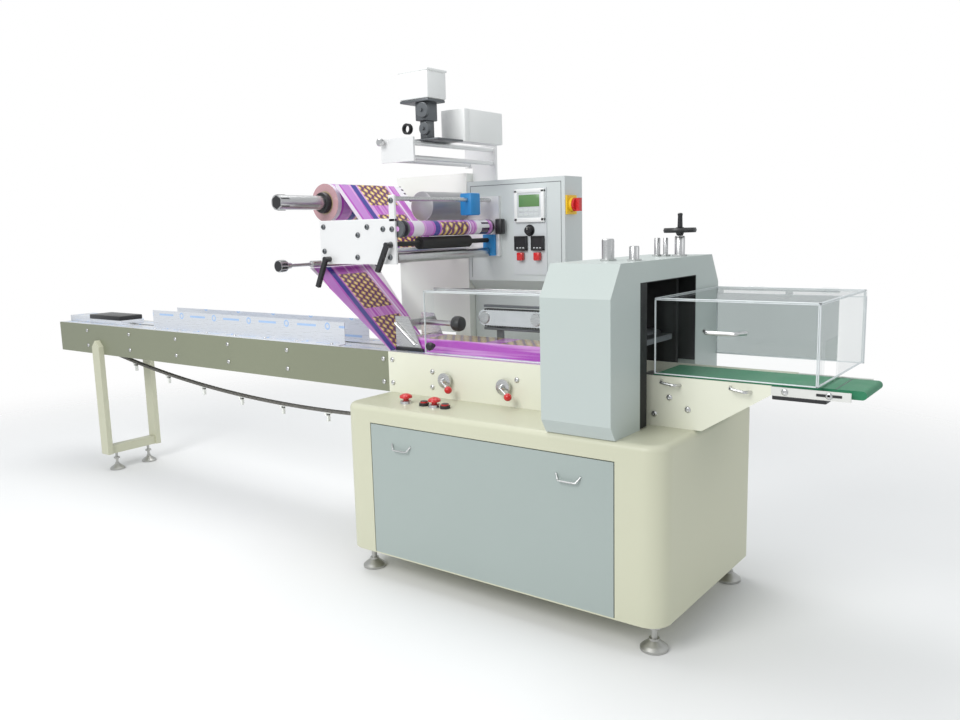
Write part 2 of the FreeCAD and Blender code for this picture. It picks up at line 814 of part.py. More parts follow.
def make_rollers():
    node(roller("turning_roller", "turn_axle", "turn_height", "turn_radius", "frame_inner - 30"))
    node(roller("grip_roller", "grip_axle", "grip_axle_height", "grip_roller_radius", "grip_half_width"))
    node(roller("lower_roller", "lower_axle", "lower_height", "lower_radius", "frame_inner - 12"))
    node(roller("dancer_roller", "dancer_axle", "dancer_height", "dancer_radius", "frame_inner - 30"))
    node(turned("guide_roller", "Y", ("guide_axle", "0", "guide_axle_height"), [
        ("-guide_near", "guide_knob"), ("-guide_near + 30", "guide_knob"),
        ("-guide_near + 30", "guide_knob * 0.6"), ("-guide_near + 55", "guide_knob * 0.5"),
        ("-guide_near + 55", "guide_shaft"), ("-film_half_width - 5", "guide_shaft"),
        ("-film_half_width - 5", "guide_radius"), ("film_half_width + 5", "guide_radius"),
        ("film_half_width + 5", "guide_shaft"), ("box_front - shaft_clearance", "guide_shaft")]))


def make_reel():
    start = "-reel_shaft_near"
    shaft = rod("reel_shaft_bar", "Y", ("reel_axle", start, "reel_height"), "reel_shaft_radius",
                "reel_shaft_near + box_front - shaft_clearance")
    hexagon = rod("reel_shaft_hex", "Y", ("reel_axle", "-half_depth", "reel_height"), "hex_radius",
                  "half_depth - reel_shaft_near")
    node(fuse("reel_shaft", [shaft, hexagon]))
    outer = rod("reel_outer", "Y", ("reel_axle", "-film_half_width", "reel_height"), "reel_radius",
                "2 * film_half_width")
    bore = rod("reel_bore", "Y", ("reel_axle", "-film_half_width", "reel_height"),
               "reel_shaft_radius + shaft_clearance", "2 * film_half_width")
    node(cut("film_reel", outer, bore))


def make_web():
    """The film on its way: off the reel, back over the feed rollers and down to the former."""
    upper = [("upper_web_left", "upper_web_top"), ("upper_web_right", "upper_web_foot"),
             ("upper_web_right", "upper_web_foot - web_thickness * 1.5"),
             ("upper_web_left", "upper_web_top - web_thickness * 1.5")]
    node(prism("film_upper_web", "XZ_Plane", upper, "-film_half_width", "2 * film_half_width"))
    body = doc.addObject("PartDesign::Body", "film_lower_web")
    sections = []
    for tag, x, height, half in (("top", "web_left", "web_top", "film_half_width"),
                                 ("foot", "web_right", "web_foot", "web_foot_half_width")):
        sketch = sketch_on(body, f"lower_web_{tag}", "YZ_Plane")
        bind(sketch, "AttachmentOffset.Base.z", x)
        draw_polygon(sketch, [(f"-{half}", f"{height} - web_thickness"), (half, f"{height} - web_thickness"),
                              (half, height), (f"-{half}", height)])
        sections.append(sketch)
    loft = body.newObject("PartDesign::AdditiveLoft", "lower_web_loft")
    loft.Profile = sections[0]
    loft.Sections = [sections[1]]
    loft.Ruled = True
    node(body)


def make_former():
    half = "former_half_width"
    outline = [("former_left", "trough_top"), ("former_right", "trough_top"),
               ("former_right - 60", "former_top"), ("former_left", "former_top")]
    bridge = block("former_bridge", ("former_right - 60 - former_bridge", "former_right - 60"),
                   (f"-{half}", half), ("adjuster_height - former_bridge", "adjuster_height + former_bridge"))
    node(fuse("film_former", [
        prism("former_front_plate", "XZ_Plane", outline, f"-{half} - former_thickness", "former_thickness"),
        prism("former_rear_plate", "XZ_Plane", outline, half, "former_thickness"), bridge]))
    node(block("film_tube", ("tube_left", "tube_right"), ("-tube_half_width", "tube_half_width"),
               ("trough_top", "trough_top + tube_height")))


def stadium(name, left, right, height, radius, near, width):
    """A flat loop's outer form: two round ends joined by a block."""
    return fuse(name, [
        rod(f"{name}_left_end", "Y", (left, near, height), radius, width),
        rod(f"{name}_right_end", "Y", (right, near, height), radius, width),
        block(f"{name}_middle", (left, right), (near, f"({near}) + {width}"),
              (f"({height}) - {radius}", f"({height}) + {radius}")),
    ])


def make_hold_down():
    node(stadium("hold_down_belt", "hold_left + hold_radius", "hold_right", "hold_low + hold_radius",
                 "hold_radius", "hold_front", "hold_width"))
    near = "hold_front + hold_width"
    beam = ("hold_low + hold_radius - hold_beam / 2", "hold_low + hold_radius + hold_beam / 2")
    posts = [block(f"hold_post_{side}", (x, f"{x} + hold_beam"), (near, f"{near} + frame_thickness"),
                   ("trough_top", beam[1]))
             for side, x in (("left", "hold_left + hold_inset"), ("right", "tube_right - hold_inset"))]
    bar = block("hold_bar", ("hold_left + hold_inset", "tube_right - hold_inset + hold_beam"),
                (near, f"{near} + frame_thickness"), beam)
    node(fuse("hold_down_frame", posts + [bar]))


# ---------------------------------------------------------------- infeed chain
def draw_chain_line(sketch, depth):
    """One closed line round the wheels, a depth inside the chain's outer face."""
    radius = f"(sprocket_radius - {depth})"
    sag = f"(sag_radius - {depth})"
    r, big = numeric(radius), numeric(sag)
    x0, x1, top, low = (numeric(f) for f in ("tail_axle", "drive_axle", "axle_height", "idler_height"))
    cx, cz = numeric(SAG_X), numeric(SAG_Z)
    left, right = math.atan2(top - cz, x0 - cx), math.atan2(low - cz, x1 - cx)
    z = FreeCAD.Vector(0, 0, 1)

    def arc(x, y, size, start, end):
        return Part.ArcOfCircle(Part.Circle(FreeCAD.Vector(x, y, 0), z, size), start, end)

    run = Part.LineSegment(FreeCAD.Vector(x0, top + r, 0), FreeCAD.Vector(x1, top + r, 0))
    drop = Part.LineSegment(FreeCAD.Vector(x1 + r, top, 0), FreeCAD.Vector(x1 + r, low, 0))
    pieces = [run, arc(x1, top, r, 0, math.pi / 2), drop, arc(x1, low, r, right, 0),
              arc(cx, cz, big, left, right), arc(x0, top, r, math.pi / 2, left + 2 * math.pi)]
    n = [sketch.addGeometry(piece, False) for piece in pieces]
    start, end, centre = 1, 2, 3
    for first, first_end, second, second_end in (
            (n[0], end, n[1], end), (n[1], start, n[2], start), (n[2], end, n[3], end),
            (n[3], start, n[4], end), (n[4], start, n[5], end), (n[5], start, n[0], start)):
        sketch.addConstraint(Sketcher.Constraint("Tangent", first, first_end, second, second_end))
    for wheel, x, height in ((n[1], "drive_axle", "axle_height"), (n[3], "drive_axle", "idler_height"),
                             (n[5], "tail_axle", "axle_height")):
        hold_point(sketch, wheel, centre, x, height, f"{wheel}")
    for wheel, formula in ((n[1], radius), (n[3], radius), (n[4], sag), (n[5], radius)):
        held = sketch.addConstraint(Sketcher.Constraint("Radius", wheel, numeric(formula)))
        bind(sketch, f"Constraints[{held}]", formula)


def make_chain():
    """The infeed chain: one closed band round its wheels, with the pushers of its hanging run."""
    body = doc.addObject("PartDesign::Body", "chain_band")
    sketch = sketch_on(body, "chain_line", "XZ_Plane")
    draw_chain_line(sketch, "0")
    draw_chain_line(sketch, "chain_depth")
    pad = body.newObject("PartDesign::Pad", "chain_pad")
    pad.Profile = sketch
    pad.Midplane = True
    bind(pad, "Length", "chain_width")
    pushers = []
    for n in range(int(SIZES["pusher_count"])):
        x = f"(pusher_first + {n} * pusher_pitch)"
        level = f"({SAG_Z} - sqrt(sag_radius^2 - ({x} - {SAG_X})^2))"
        pushers.append(prism(f"pusher_{n}", "XZ_Plane", [
            (f"{x} - pusher_back", f"{level} + chain_depth / 2"), (f"{x} - pusher_back", level),
            (x, f"{level} - pusher_length"), (f"{x} + pusher_tip", f"{level} - pusher_length"),
            (f"{x} + pusher_back", f"{level} + chain_depth / 2")], "-chain_width / 2", "chain_width"))
    node(fuse("infeed_chain", [body] + pushers))
    hub = "sprocket_radius - chain_depth - shaft_clearance"
    bearing = "plate_outer - plate_thickness"
    wheels = []
    for name, x, height, reach in (("tail", "tail_axle", "axle_height", bearing),
                                   ("drive", "drive_axle", "axle_height", bearing),
                                   ("idler", "drive_axle", "idler_height", "chain_way_half_width")):
        wheels.append(turned(f"{name}_sprocket", "Y", (x, "0", height), [
            (f"-({reach})", "sprocket_shaft"), ("-chain_width / 2", "sprocket_shaft"),
            ("-chain_width / 2", hub), ("chain_width / 2", hub),
            ("chain_width / 2", "sprocket_shaft"), (f"({reach})", "sprocket_shaft")]))
    node(group("chain_sprockets", wheels))


def make_guides():
    sides = []
    for name, sign in (("front", -1), ("rear", 1)):
        low = f"{sign} * guide_inner"
        wall = [(f"{low}", "trough_top"), (f"{sign} * (guide_inner + guide_flange)", "trough_top"),
                (f"{sign} * (guide_inner + guide_flange)", "trough_top + guide_thickness"),
                (f"{sign} * (guide_inner + guide_thickness)", "trough_top + guide_thickness"),
                (f"{sign} * (guide_inner + guide_thickness)", "trough_top + guide_height"),
                (f"{low}", "trough_top + guide_height")]
        sides.append(prism(f"{name}_guide", "YZ_Plane", wall, "guide_left", "guide_right - guide_left"))
    node(group("infeed_guides", sides))
    node(group("infeed_blocks", [
        block("infeed_end_block", ("-half_length", "end_block_right"), ("-stop_half_width", "stop_half_width"),
              ("trough_top", "trough_top + end_block_height")),
        block("infeed_stop", ("end_block_right + stop_gap", "stop_right"),
              ("-stop_half_width", "stop_half_width"), ("trough_top", "trough_top + stop_height"))]))


# ---------------------------------------------------------------- discharge
def make_discharge():
    inner = "plate_outer - plate_thickness"
    node(group("discharge_rails", [
        block(f"discharge_{side}_rail", ("bed_toe", "rail_right"), (near, f"{near} + plate_thickness"),
              ("rail_foot", "trough_top - rail_step"))
        for side, near in (("front", "-plate_outer"), ("rear", inner))]))
    height = "trough_top - nose_radius"
    left = "belt_left + nose_radius"
    right = "half_length - nose_radius"
    loop = stadium("discharge_loop", left, right, height, "nose_radius", "-belt_half_width",
                   "2 * belt_half_width")
    shafts = [rod(f"discharge_shaft_{name}", "Y", (x, f"-({inner})", height), "belt_shaft", f"2 * ({inner})")
              for name, x in (("left", "belt_left + belt_inset"), ("right", "rail_right - nose_radius"))]
    node(fuse("discharge_belt", [loop] + shafts))


def hinge_knuckles(name, left, right, axle, near):
    """Two knuckles round a hinge rail, each on an arm from the cover's roof."""
    knuckles = []
    for side, share in (("left", "0.22"), ("right", "0.72")):
        start = f"({left} + ({right} - {left}) * {share})"
        knuckles.append(rod(f"{name}_{side}_knuckle", "X", (start, *axle), "knuckle_radius", "knuckle_length"))
        knuckles.append(block(f"{name}_{side}_arm", (start, f"{start} + knuckle_length"),
                              (f"{near} - knuckle_radius", axle[0]), ("cover_top - clear_thickness", "cover_top")))
    return knuckles


def make_exit_cover():
    t = "clear_thickness"
    left, right = "exit_cover_left", "exit_cover_right"
    near = "-plate_outer"
    rear = "exit_cover_rear - hinge_way"
    foot, top = "trough_top + cover_gap", "cover_top"
    front = block("exit_cover_front", (left, right), (near, f"{near} + {t}"), (foot, top))
    roof = block("exit_cover_roof", (left, right), (near, rear), (f"{top} - {t}", top))
    end = block("exit_cover_end", (f"{right} - {t}", right), (near, rear), (foot, top))
    axle = (f"exit_cover_rear - {t} / 2", f"{top} - knuckle_radius + 2")
    knuckles = hinge_knuckles("exit_cover", left, right, axle, rear)
    shell = fuse("exit_cover_shell", [front, roof, end] + knuckles)
    way = block("exit_cover_way", (f"{right} - 2 * {t}", f"{right} + {t}"),
                ("-exit_half_width", "exit_half_width"), ("trough_top", "exit_height"))
    bore = rod("exit_cover_bore", "X", (f"{left} - {t}", *axle), "hinge_radius + running_clearance",
               f"{right} - {left} + 2 * {t}")
    gaps = fuse("exit_cover_gaps", [way, bore])
    node(cut("exit_cover", shell, gaps))
    wall = block("exit_back_wall", ("guard_right", right), (f"exit_cover_rear - {t}", "exit_cover_rear"),
                 ("trough_top", f"{axle[1]} - knuckle_radius - cover_gap"))
    rail = rod("exit_hinge_rail", "X", ("guard_right", *axle), "hinge_radius", f"{right} - guard_right")
    ends = [block(f"exit_hinge_post_{side}", (x, f"{x} + hinge_post"),
                  (f"exit_cover_rear - {t}", "exit_cover_rear"),
                  (f"{axle[1]} - knuckle_radius - cover_gap", axle[1]))
            for side, x in (("left", "guard_right"), ("middle", f"({left} + {right} - hinge_post) / 2"),
                            ("right", f"{right} - hinge_post"))]
    node(fuse("exit_cover_back", [wall, rail] + ends))


def make_fin_cover():
    t = "clear_thickness"
    left, right = "fin_cover_left", "fin_cover_right"
    near = "-plate_outer"
    foot, top = "trough_top + cover_gap", "cover_top"
    front = block("fin_cover_front", (left, right), (near, f"{near} + {t}"), (foot, top))
    roof = block("fin_cover_roof", (left, right), (near, f"{near} + fin_cover_depth"), (f"{top} - {t}", top))
    end = block("fin_cover_end", (left, f"{left} + {t}"), (near, f"{near} + fin_end_depth"), (foot, top))
    axle = (f"{near} + fin_cover_depth + hinge_way / 2", top)
    knuckles = hinge_knuckles("fin_cover", left, right, axle, f"{near} + fin_cover_depth")
    start = f"{left} - rail_overhang"
    shell = fuse("fin_cover_shell", [front, roof, end] + knuckles)
    bore = rod("fin_cover_bore", "X", (start, *axle), "hinge_radius + running_clearance",
               f"{right} - {left} + 2 * rail_overhang")
    node(cut("fin_cover", shell, bore))
    rail = rod("fin_rail_bar", "X", (start, *axle), "hinge_radius", f"guard_left + hinge_radius - ({start})")
    hanger = block("fin_rail_hanger", ("guard_left", "guard_left + 2 * hinge_radius"),
                   (f"{axle[0]} - hinge_radius", f"{axle[0]} + hinge_radius"),
                   (f"{top} - hinge_radius", "mouth_top"))
    node(fuse("fin_cover_rail", [rail, hanger]))


def hand_wheel(name, x):
    """A dished hand wheel with a lever on the bed's front."""
    centre = (x, "-plate_outer - 0.3", "knob_height")
    return turned(name, "Y", centre, [("-34", "6"), ("-28", "10"), ("-22", "12"), ("-20", "knob_radius"),
                                      ("-12", "knob_radius"), ("-10", "12"), ("0", "12")])


def make_hand_wheels():
    node(hand_wheel("left_hand_wheel", "knob_left"))
    node(hand_wheel("right_hand_wheel", "knob_right"))


# ---------------------------------------------------------------- coder
def make_coder():
    far = "box_front + 30"
    plate = block("coder_near_plate", ("coder_left", "coder_right"), ("coder_near", "coder_near + 8"),
                  ("coder_foot", "coder_rail_high + 17"))
    bracket = prism("coder_bracket", "XZ_Plane", [
        ("box_left + 5", "box_top"), ("coder_right", "box_top"), ("coder_right", "coder_rail_high + 17"),
        ("coder_left", "coder_rail_high + 17"), ("coder_left", "coder_foot"),
        ("box_left + 5", "coder_foot")], far, "10")
    rails = [rod(f"coder_rail_{n}", "Y", (x, "coder_near + 8", z), "coder_rail_radius",
                 f"{far} - coder_near - 8")
             for n, (x, z) in enumerate((("coder_left + 20", "coder_rail_low"),
                                         ("coder_right - 16", "coder_rail_low"),
                                         ("coder_right - 16", "coder_rail_high")))]
    node(fuse("coder_frame", [plate, bracket] + rails))
    body = block("coder_body", ("coder_left + 40", "coder_right + 30"), ("coder_near + 40", "60"),
                 ("coder_rail_high + coder_rail_radius", "coder_body_top"))
    case = block("coder_box", ("coder_box_left", "coder_box_right"), ("coder_box_near", "coder_box_far"),
                 ("coder_body_top", "coder_box_top"))
    node(fuse("coder_head", [body, case]))


def make_levers():
    """Clamp levers on the near plate: a hub with a hanging handle."""
    levers = []
    face = "-frame_inner - frame_thickness"
    for name, x, z, drop in (("left", "left_lever", "left_lever_height", "94"),
                             ("right", "right_lever", "right_lever_height", "85")):
        hub = rod(f"{name}_lever_hub", "Y", (x, f"{face} - 26", z), "9", "26")
        handle = prism(f"{name}_lever_arm", "XZ_Plane", [
            (f"{x} - 8", z), (f"{x} + 8", z), (f"{x} - 36", f"{z} - {drop}"),
            (f"{x} - 50", f"{z} - {drop} + 5")], f"{face} - 26", "12")
        levers.append(fuse(f"{name}_lever", [hub, handle]))
    node(group("clamp_levers", levers))


def make_adjuster():
    """The spindle that sets the former: rod, flange and knob in one line."""
    node(turned("former_adjuster", "X", ("former_right - 60", "0", "adjuster_height"), [
        ("0", "7"), ("110", "7"), ("110", "30"), ("122", "30"), ("122", "9"), ("136", "9"),
        ("136", "22"), ("176", "22"), ("182", "16")]))


def check_and_write():
    doc.recompute()
    for item in doc.Objects:
        if "Invalid" in item.State or "Error" in item.State:
            raise RuntimeError(f"{item.Label} failed: {item.State}")
    os.makedirs("parts", exist_ok=True)
    for item in NODES:
        if item.Shape.isNull() or not item.Shape.isValid():
            raise RuntimeError(f"{item.Label} has no valid shape")
        item.Shape.exportStep(f"parts/{item.Label}.step")
    print(len(NODES), "sub-parts")


make_cabinet()
make_panels()
make_bed()
make_trough()
make_leg()
make_guard()
make_jaws()
make_posts()
make_control_box()
make_main_switch()
make_desk_buttons()
make_film_frame()
make_rollers()
make_reel()
make_web()
make_former()
make_hold_down()
make_chain()
make_guides()
make_discharge()
make_exit_cover()
make_fin_cover()
make_hand_wheels()
make_coder()
make_levers()
make_adjuster()
check_and_write()
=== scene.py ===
# %% [markdown]
# # A horizontal flow wrapper
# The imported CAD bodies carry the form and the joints. The cells below add what the CAD leaves out:
# finishes, screws, chain links, knobs, handles and the dials of the control box.
# Everything is in metres in the shared frame: +X to the discharge, +Y to the control box, +Z up.

# %% load the frame
import json
import math
import bmesh
import bpy
import numpy as np
from mathutils import Matrix, Vector


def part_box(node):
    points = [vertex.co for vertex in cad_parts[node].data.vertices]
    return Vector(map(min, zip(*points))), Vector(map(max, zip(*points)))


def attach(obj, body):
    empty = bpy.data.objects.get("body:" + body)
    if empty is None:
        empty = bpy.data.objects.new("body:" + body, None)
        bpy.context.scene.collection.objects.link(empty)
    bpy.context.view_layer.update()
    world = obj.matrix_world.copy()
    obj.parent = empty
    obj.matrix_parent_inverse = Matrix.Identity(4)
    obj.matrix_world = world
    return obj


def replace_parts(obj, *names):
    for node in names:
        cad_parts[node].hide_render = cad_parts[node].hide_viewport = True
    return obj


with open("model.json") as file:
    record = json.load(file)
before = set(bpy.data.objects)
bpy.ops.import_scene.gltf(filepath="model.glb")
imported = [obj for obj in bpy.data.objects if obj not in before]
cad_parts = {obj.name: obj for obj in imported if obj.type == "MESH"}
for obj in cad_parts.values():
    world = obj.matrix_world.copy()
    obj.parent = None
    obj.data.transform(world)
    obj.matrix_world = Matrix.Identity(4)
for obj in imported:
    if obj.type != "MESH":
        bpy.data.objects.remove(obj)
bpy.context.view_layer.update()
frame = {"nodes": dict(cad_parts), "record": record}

record = frame["record"]
nodes = frame["nodes"]

# %% [markdown]
# ## Surfaces from formulas
# Every added piece starts as a grid of points that a formula gives for two parameters.
# The grid becomes quads; points that fall together at a pole or a seam are joined, and the
# normals are turned outward, so each piece is closed like the real one.

# %% grid tools
def grid_faces(rows, columns, wrap_rows=False, wrap_columns=False):
    """Quads between neighbours of a grid; the last row or column joins the first where it wraps."""
    i = np.arange(rows if wrap_rows else rows - 1)
    j = np.arange(columns if wrap_columns else columns - 1)
    a, b = np.meshgrid(i, j, indexing="ij")
    down, right = (a + 1) % rows, (b + 1) % columns
    quads = np.stack([a * columns + b, down * columns + b, down * columns + right, a * columns + right], -1)
    return quads.reshape(-1, 4)


def copies(shape, spots):
    """The same points at several spots: each spot is added to every point."""
    points, faces = shape
    spots = np.asarray(spots, float).reshape(-1, 3)
    moved = points[None, :, :] + spots[:, None, :]
    shifted = faces[None, :, :] + (np.arange(len(spots)) * len(points))[:, None, None]
    return moved.reshape(-1, 3), shifted.reshape(-1, faces.shape[1])


def join(*shapes):
    """Several shapes as one list of points and one of quads."""
    points, faces, count = [], [], 0
    for p, f in shapes:
        points.append(p)
        faces.append(f + count)
        count += len(p)
    return np.concatenate(points), np.concatenate(faces)


print("a grid of 3 by 4 points has", len(grid_faces(3, 4)), "quads")

# %% [markdown]
# ## Round and boxed shapes
# A shaft, a knob or a nut is a profile swept round an axis. A case or a plate is a box whose edges are
# a little round, because a real edge always catches a line of light. A sphere pushed out to the eight
# corners gives that box with no modifier.

# %% turned and boxed shapes
def turned(profile, axis, centre, steps=40):
    """A profile of (along, radius) swept round an axis: along + radius * (cos, sin) of the turn."""
    along, radius = np.asarray(profile, float).T
    turn = np.linspace(0, 2 * np.pi, steps, endpoint=False)
    a = along[:, None] + 0 * turn
    c = radius[:, None] * np.cos(turn)
    s = radius[:, None] * np.sin(turn)
    order = {"X": (a, c, s), "Y": (s, a, c), "Z": (c, s, a)}[axis]
    points = np.stack(order, -1).reshape(-1, 3) + np.asarray(centre, float)
    return points, grid_faces(len(along), steps, wrap_columns=True)


def slab(low, high, radius=0.002, steps=3):
    """A box with round edges: each point of a sphere is pushed out to the corner its octant belongs to."""
    low, high = np.asarray(low, float), np.asarray(high, float)
    middle, half = (low + high) / 2, (high - low) / 2
    radius = min(radius, half.min() * 0.99)
    quarter = np.linspace(0, np.pi / 2, steps)
    round_ = np.concatenate([quarter + k * np.pi / 2 for k in range(4)])
    side = np.repeat(np.arange(4), steps)
    sx, sy = np.array([1, -1, -1, 1])[side], np.array([1, 1, -1, -1])[side]
    up = np.concatenate([quarter - np.pi / 2, quarter])
    sz = np.repeat([-1, 1], steps)
    normal = np.stack([np.cos(up)[:, None] * np.cos(round_), np.cos(up)[:, None] * np.sin(round_),
                       np.sin(up)[:, None] + 0 * round_], -1)
    sign = np.stack([sx + 0 * sz[:, None], sy + 0 * sz[:, None], sz[:, None] + 0 * sx], -1)
    points = middle + sign * (half - radius) + radius * normal
    rows, columns = len(up), len(round_)
    caps = np.array([[0, steps, 2 * steps, 3 * steps]])
    top = caps + (rows - 1) * columns
    faces = np.concatenate([grid_faces(rows, columns, wrap_columns=True), caps, top])
    return points.reshape(-1, 3), faces


print("a box with round edges has", len(slab((0, 0, 0), (1, 1, 1))[1]), "faces")

# %% [markdown]
# ## Tubes
# A handle, a lever or a rod follows a path. Blender's curves could do this, but here the circle is
# worked out across the path's direction at each point, so it becomes a mesh at once.

# %% tubes
def tube(path, radius, steps=12, closed=False):
    """A round tube along a path: at each point a circle across the path's direction."""
    path = np.asarray(path, float)
    if closed:
        ahead = np.roll(path, -1, 0) - np.roll(path, 1, 0)
    else:
        ahead = np.gradient(path, axis=0)
    ahead /= np.linalg.norm(ahead, axis=1)[:, None]
    guide = np.array([0.0, 0.0, 1.0])
    if np.abs(ahead @ guide).max() > 0.99:
        guide = np.array([0.31, 0.95, 0.07])
    one = np.cross(ahead, guide)
    one /= np.linalg.norm(one, axis=1)[:, None]
    two = np.cross(ahead, one)
    turn = np.linspace(0, 2 * np.pi, steps, endpoint=False)
    ring = np.cos(turn)[None, :, None] * one[:, None] + np.sin(turn)[None, :, None] * two[:, None]
    points = path[:, None] + radius * ring
    if not closed:
        first, last = path[:1, None] + 0 * ring[:1], path[-1:, None] + 0 * ring[-1:]
        points = np.concatenate([first, points, last])
    faces = grid_faces(len(points), steps, wrap_rows=closed, wrap_columns=True)
    return points.reshape(-1, 3), faces


print("a straight tube of two points has", len(tube([(0, 0, 0), (1, 0, 0)], 0.1)[1]), "faces")

# %% [markdown]
# ## From points to a piece
# Each added piece is one mesh object in its final place. It rides on the CAD body it belongs to, so
# that it moves with the joint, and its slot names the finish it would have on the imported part.

# %% pieces
sharp_above = 38
print("edges sharper than", sharp_above, "degrees stay crisp")


def piece(name, shape, material, body, smooth=True):
    """A mesh object from points and quads, closed, facing outward, riding on its CAD body."""
    points, faces = shape
    mesh = bpy.data.meshes.new(name)
    mesh.from_pydata(points.tolist(), [], faces.tolist())
    work = bmesh.new()
    work.from_mesh(mesh)
    bmesh.ops.remove_doubles(work, verts=work.verts, dist=1e-6)
    bmesh.ops.dissolve_degenerate(work, edges=work.edges, dist=1e-7)
    bmesh.ops.recalc_face_normals(work, faces=work.faces)
    work.to_mesh(mesh)
    work.free()
    mesh.polygons.foreach_set("use_smooth", [smooth] * len(mesh.polygons))
    if smooth:
        mesh.set_sharp_from_angle(angle=math.radians(sharp_above))
    item = bpy.data.objects.new(name, mesh)
    bpy.context.scene.collection.objects.link(item)
    mesh.materials.append(material)
    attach(item, body)
    print(f"{name}: {len(mesh.vertices)} points, {len(mesh.polygons)} faces, on {body}")
    return item

# %% [markdown]
# ## Shared effects
# Paint, plastic and metal are never one even colour. Three groups give the small changes:
# a mottle for paint and plastic, a drawn grain for brushed sheet, and the dust that settles
# on faces that look up. A group puts out only values and normals. Two helpers come first: one
# makes an empty group with its sockets, the other adds a sum.

# %% helpers for node groups
def new_group(name, inputs, outputs):
    """An empty shader group with the sockets that are asked for."""
    group = bpy.data.node_groups.new(name, "ShaderNodeTree")
    for label, kind, value in inputs:
        socket = group.interface.new_socket(label, in_out="INPUT", socket_type=kind)
        if value is not None:
            socket.default_value = value
    for label, kind in outputs:
        group.interface.new_socket(label, in_out="OUTPUT", socket_type=kind)
    return group, group.nodes.new("NodeGroupInput"), group.nodes.new("NodeGroupOutput")


def math_node(tree, operation, first, second=None):
    """One sum of a node tree; each side is a number or another node's output."""
    item = tree.nodes.new("ShaderNodeMath")
    item.operation = operation
    for index, value in enumerate((first, second)):
        if value is None:
            continue
        if isinstance(value, (int, float)):
            item.inputs[index].default_value = value
        else:
            tree.links.new(value, item.inputs[index])
    return item.outputs[0]


print("node groups so far:", len(bpy.data.node_groups))

# %% [markdown]
# ## Mottle
# Broad noise changes the tone of paint by a few percent, and fine noise gives its orange peel. Noise
# in the object's own place moves with the part and needs no picture.

# %% mottle
def make_mottle():
    """Broad and fine noise for tone, and a light orange-peel relief."""
    group, source, sink = new_group("Mottle", [("Scale", "NodeSocketFloat", 6.0),
                                               ("Relief", "NodeSocketFloat", 0.1)],
                                    [("Tone", "NodeSocketFloat"), ("Normal", "NodeSocketVector")])
    place = group.nodes.new("ShaderNodeTexCoord")
    broad = group.nodes.new("ShaderNodeTexNoise")
    fine = group.nodes.new("ShaderNodeTexNoise")
    bump = group.nodes.new("ShaderNodeBump")
    broad.inputs["Detail"].default_value = 5
    fine.inputs["Scale"].default_value = 420
    group.links.new(place.outputs["Object"], broad.inputs["Vector"])
    group.links.new(place.outputs["Object"], fine.inputs["Vector"])
    group.links.new(source.outputs["Scale"], broad.inputs["Scale"])
    group.links.new(source.outputs["Relief"], bump.inputs["Strength"])
    bump.inputs["Distance"].default_value = 0.0004
    group.links.new(fine.outputs["Fac"], bump.inputs["Height"])
    group.links.new(broad.outputs["Fac"], sink.inputs["Tone"])
    group.links.new(bump.outputs["Normal"], sink.inputs["Normal"])
    return group


MOTTLE = make_mottle()
print("group:", MOTTLE.name, "with", len(MOTTLE.nodes), "nodes")

# %% [markdown]
# ## Grain
# A brush leaves long fine lines on sheet. The same noise, drawn out along one way by uneven scales,
# gives those lines in the tone and in the relief.

# %% grain
def make_grain():
    """Noise drawn out along X, as a brush leaves on steel sheet."""
    group, source, sink = new_group("Grain", [("Relief", "NodeSocketFloat", 0.2)],
                                    [("Tone", "NodeSocketFloat"), ("Normal", "NodeSocketVector")])
    place = group.nodes.new("ShaderNodeTexCoord")
    stretch = group.nodes.new("ShaderNodeMapping")
    noise = group.nodes.new("ShaderNodeTexNoise")
    bump = group.nodes.new("ShaderNodeBump")
    stretch.inputs["Scale"].default_value = (6, 300, 300)
    noise.inputs["Scale"].default_value = 3
    noise.inputs["Detail"].default_value = 6
    bump.inputs["Distance"].default_value = 0.0003
    group.links.new(place.outputs["Object"], stretch.inputs["Vector"])
    group.links.new(stretch.outputs["Vector"], noise.inputs["Vector"])
    group.links.new(source.outputs["Relief"], bump.inputs["Strength"])
    group.links.new(noise.outputs["Fac"], bump.inputs["Height"])
    group.links.new(noise.outputs["Fac"], sink.inputs["Tone"])
    group.links.new(bump.outputs["Normal"], sink.inputs["Normal"])
    return group


GRAIN = make_grain()
print("group:", GRAIN.name, "with", len(GRAIN.nodes), "nodes")

# %% [markdown]
# ## Dust
# Dust lies only where a face looks up, so the Z of the normal masks it, and noise breaks it up.

# %% dust
def make_dust():
    """A mask that is 1 on faces that look up, broken by noise."""
    group, source, sink = new_group("Dust", [("Amount", "NodeSocketFloat", 0.2)],
                                    [("Mask", "NodeSocketFloat")])
    shape = group.nodes.new("ShaderNodeNewGeometry")
    split = group.nodes.new("ShaderNodeSeparateXYZ")
    place = group.nodes.new("ShaderNodeTexCoord")
    noise = group.nodes.new("ShaderNodeTexNoise")
    noise.inputs["Scale"].default_value = 14
    noise.inputs["Detail"].default_value = 6
    group.links.new(shape.outputs["Normal"], split.inputs[0])
    group.links.new(place.outputs["Object"], noise.inputs["Vector"])
    up = math_node(group, "MAXIMUM", split.outputs["Z"], 0.0)
    broken = math_node(group, "MULTIPLY", up, noise.outputs["Fac"])
    group.links.new(math_node(group, "MULTIPLY", broken, source.outputs["Amount"]), sink.inputs["Mask"])
    return group


DUST = make_dust()
print("group:", DUST.name, "with", len(DUST.nodes), "nodes")

# %% [markdown]
# ## Finishes
# Each finish is a principled shader. Its constants sit on the shader's own sockets, and what
# changes over the surface comes from the groups, between a darker and a lighter tone.

# %% how a finish is made
def add_group(tree, group, **values):
    """One shared group in a material, with this material's own values."""
    item = tree.nodes.new("ShaderNodeGroup")
    item.node_tree = group
    for label, value in values.items():
        item.inputs[label].default_value = value
    return item


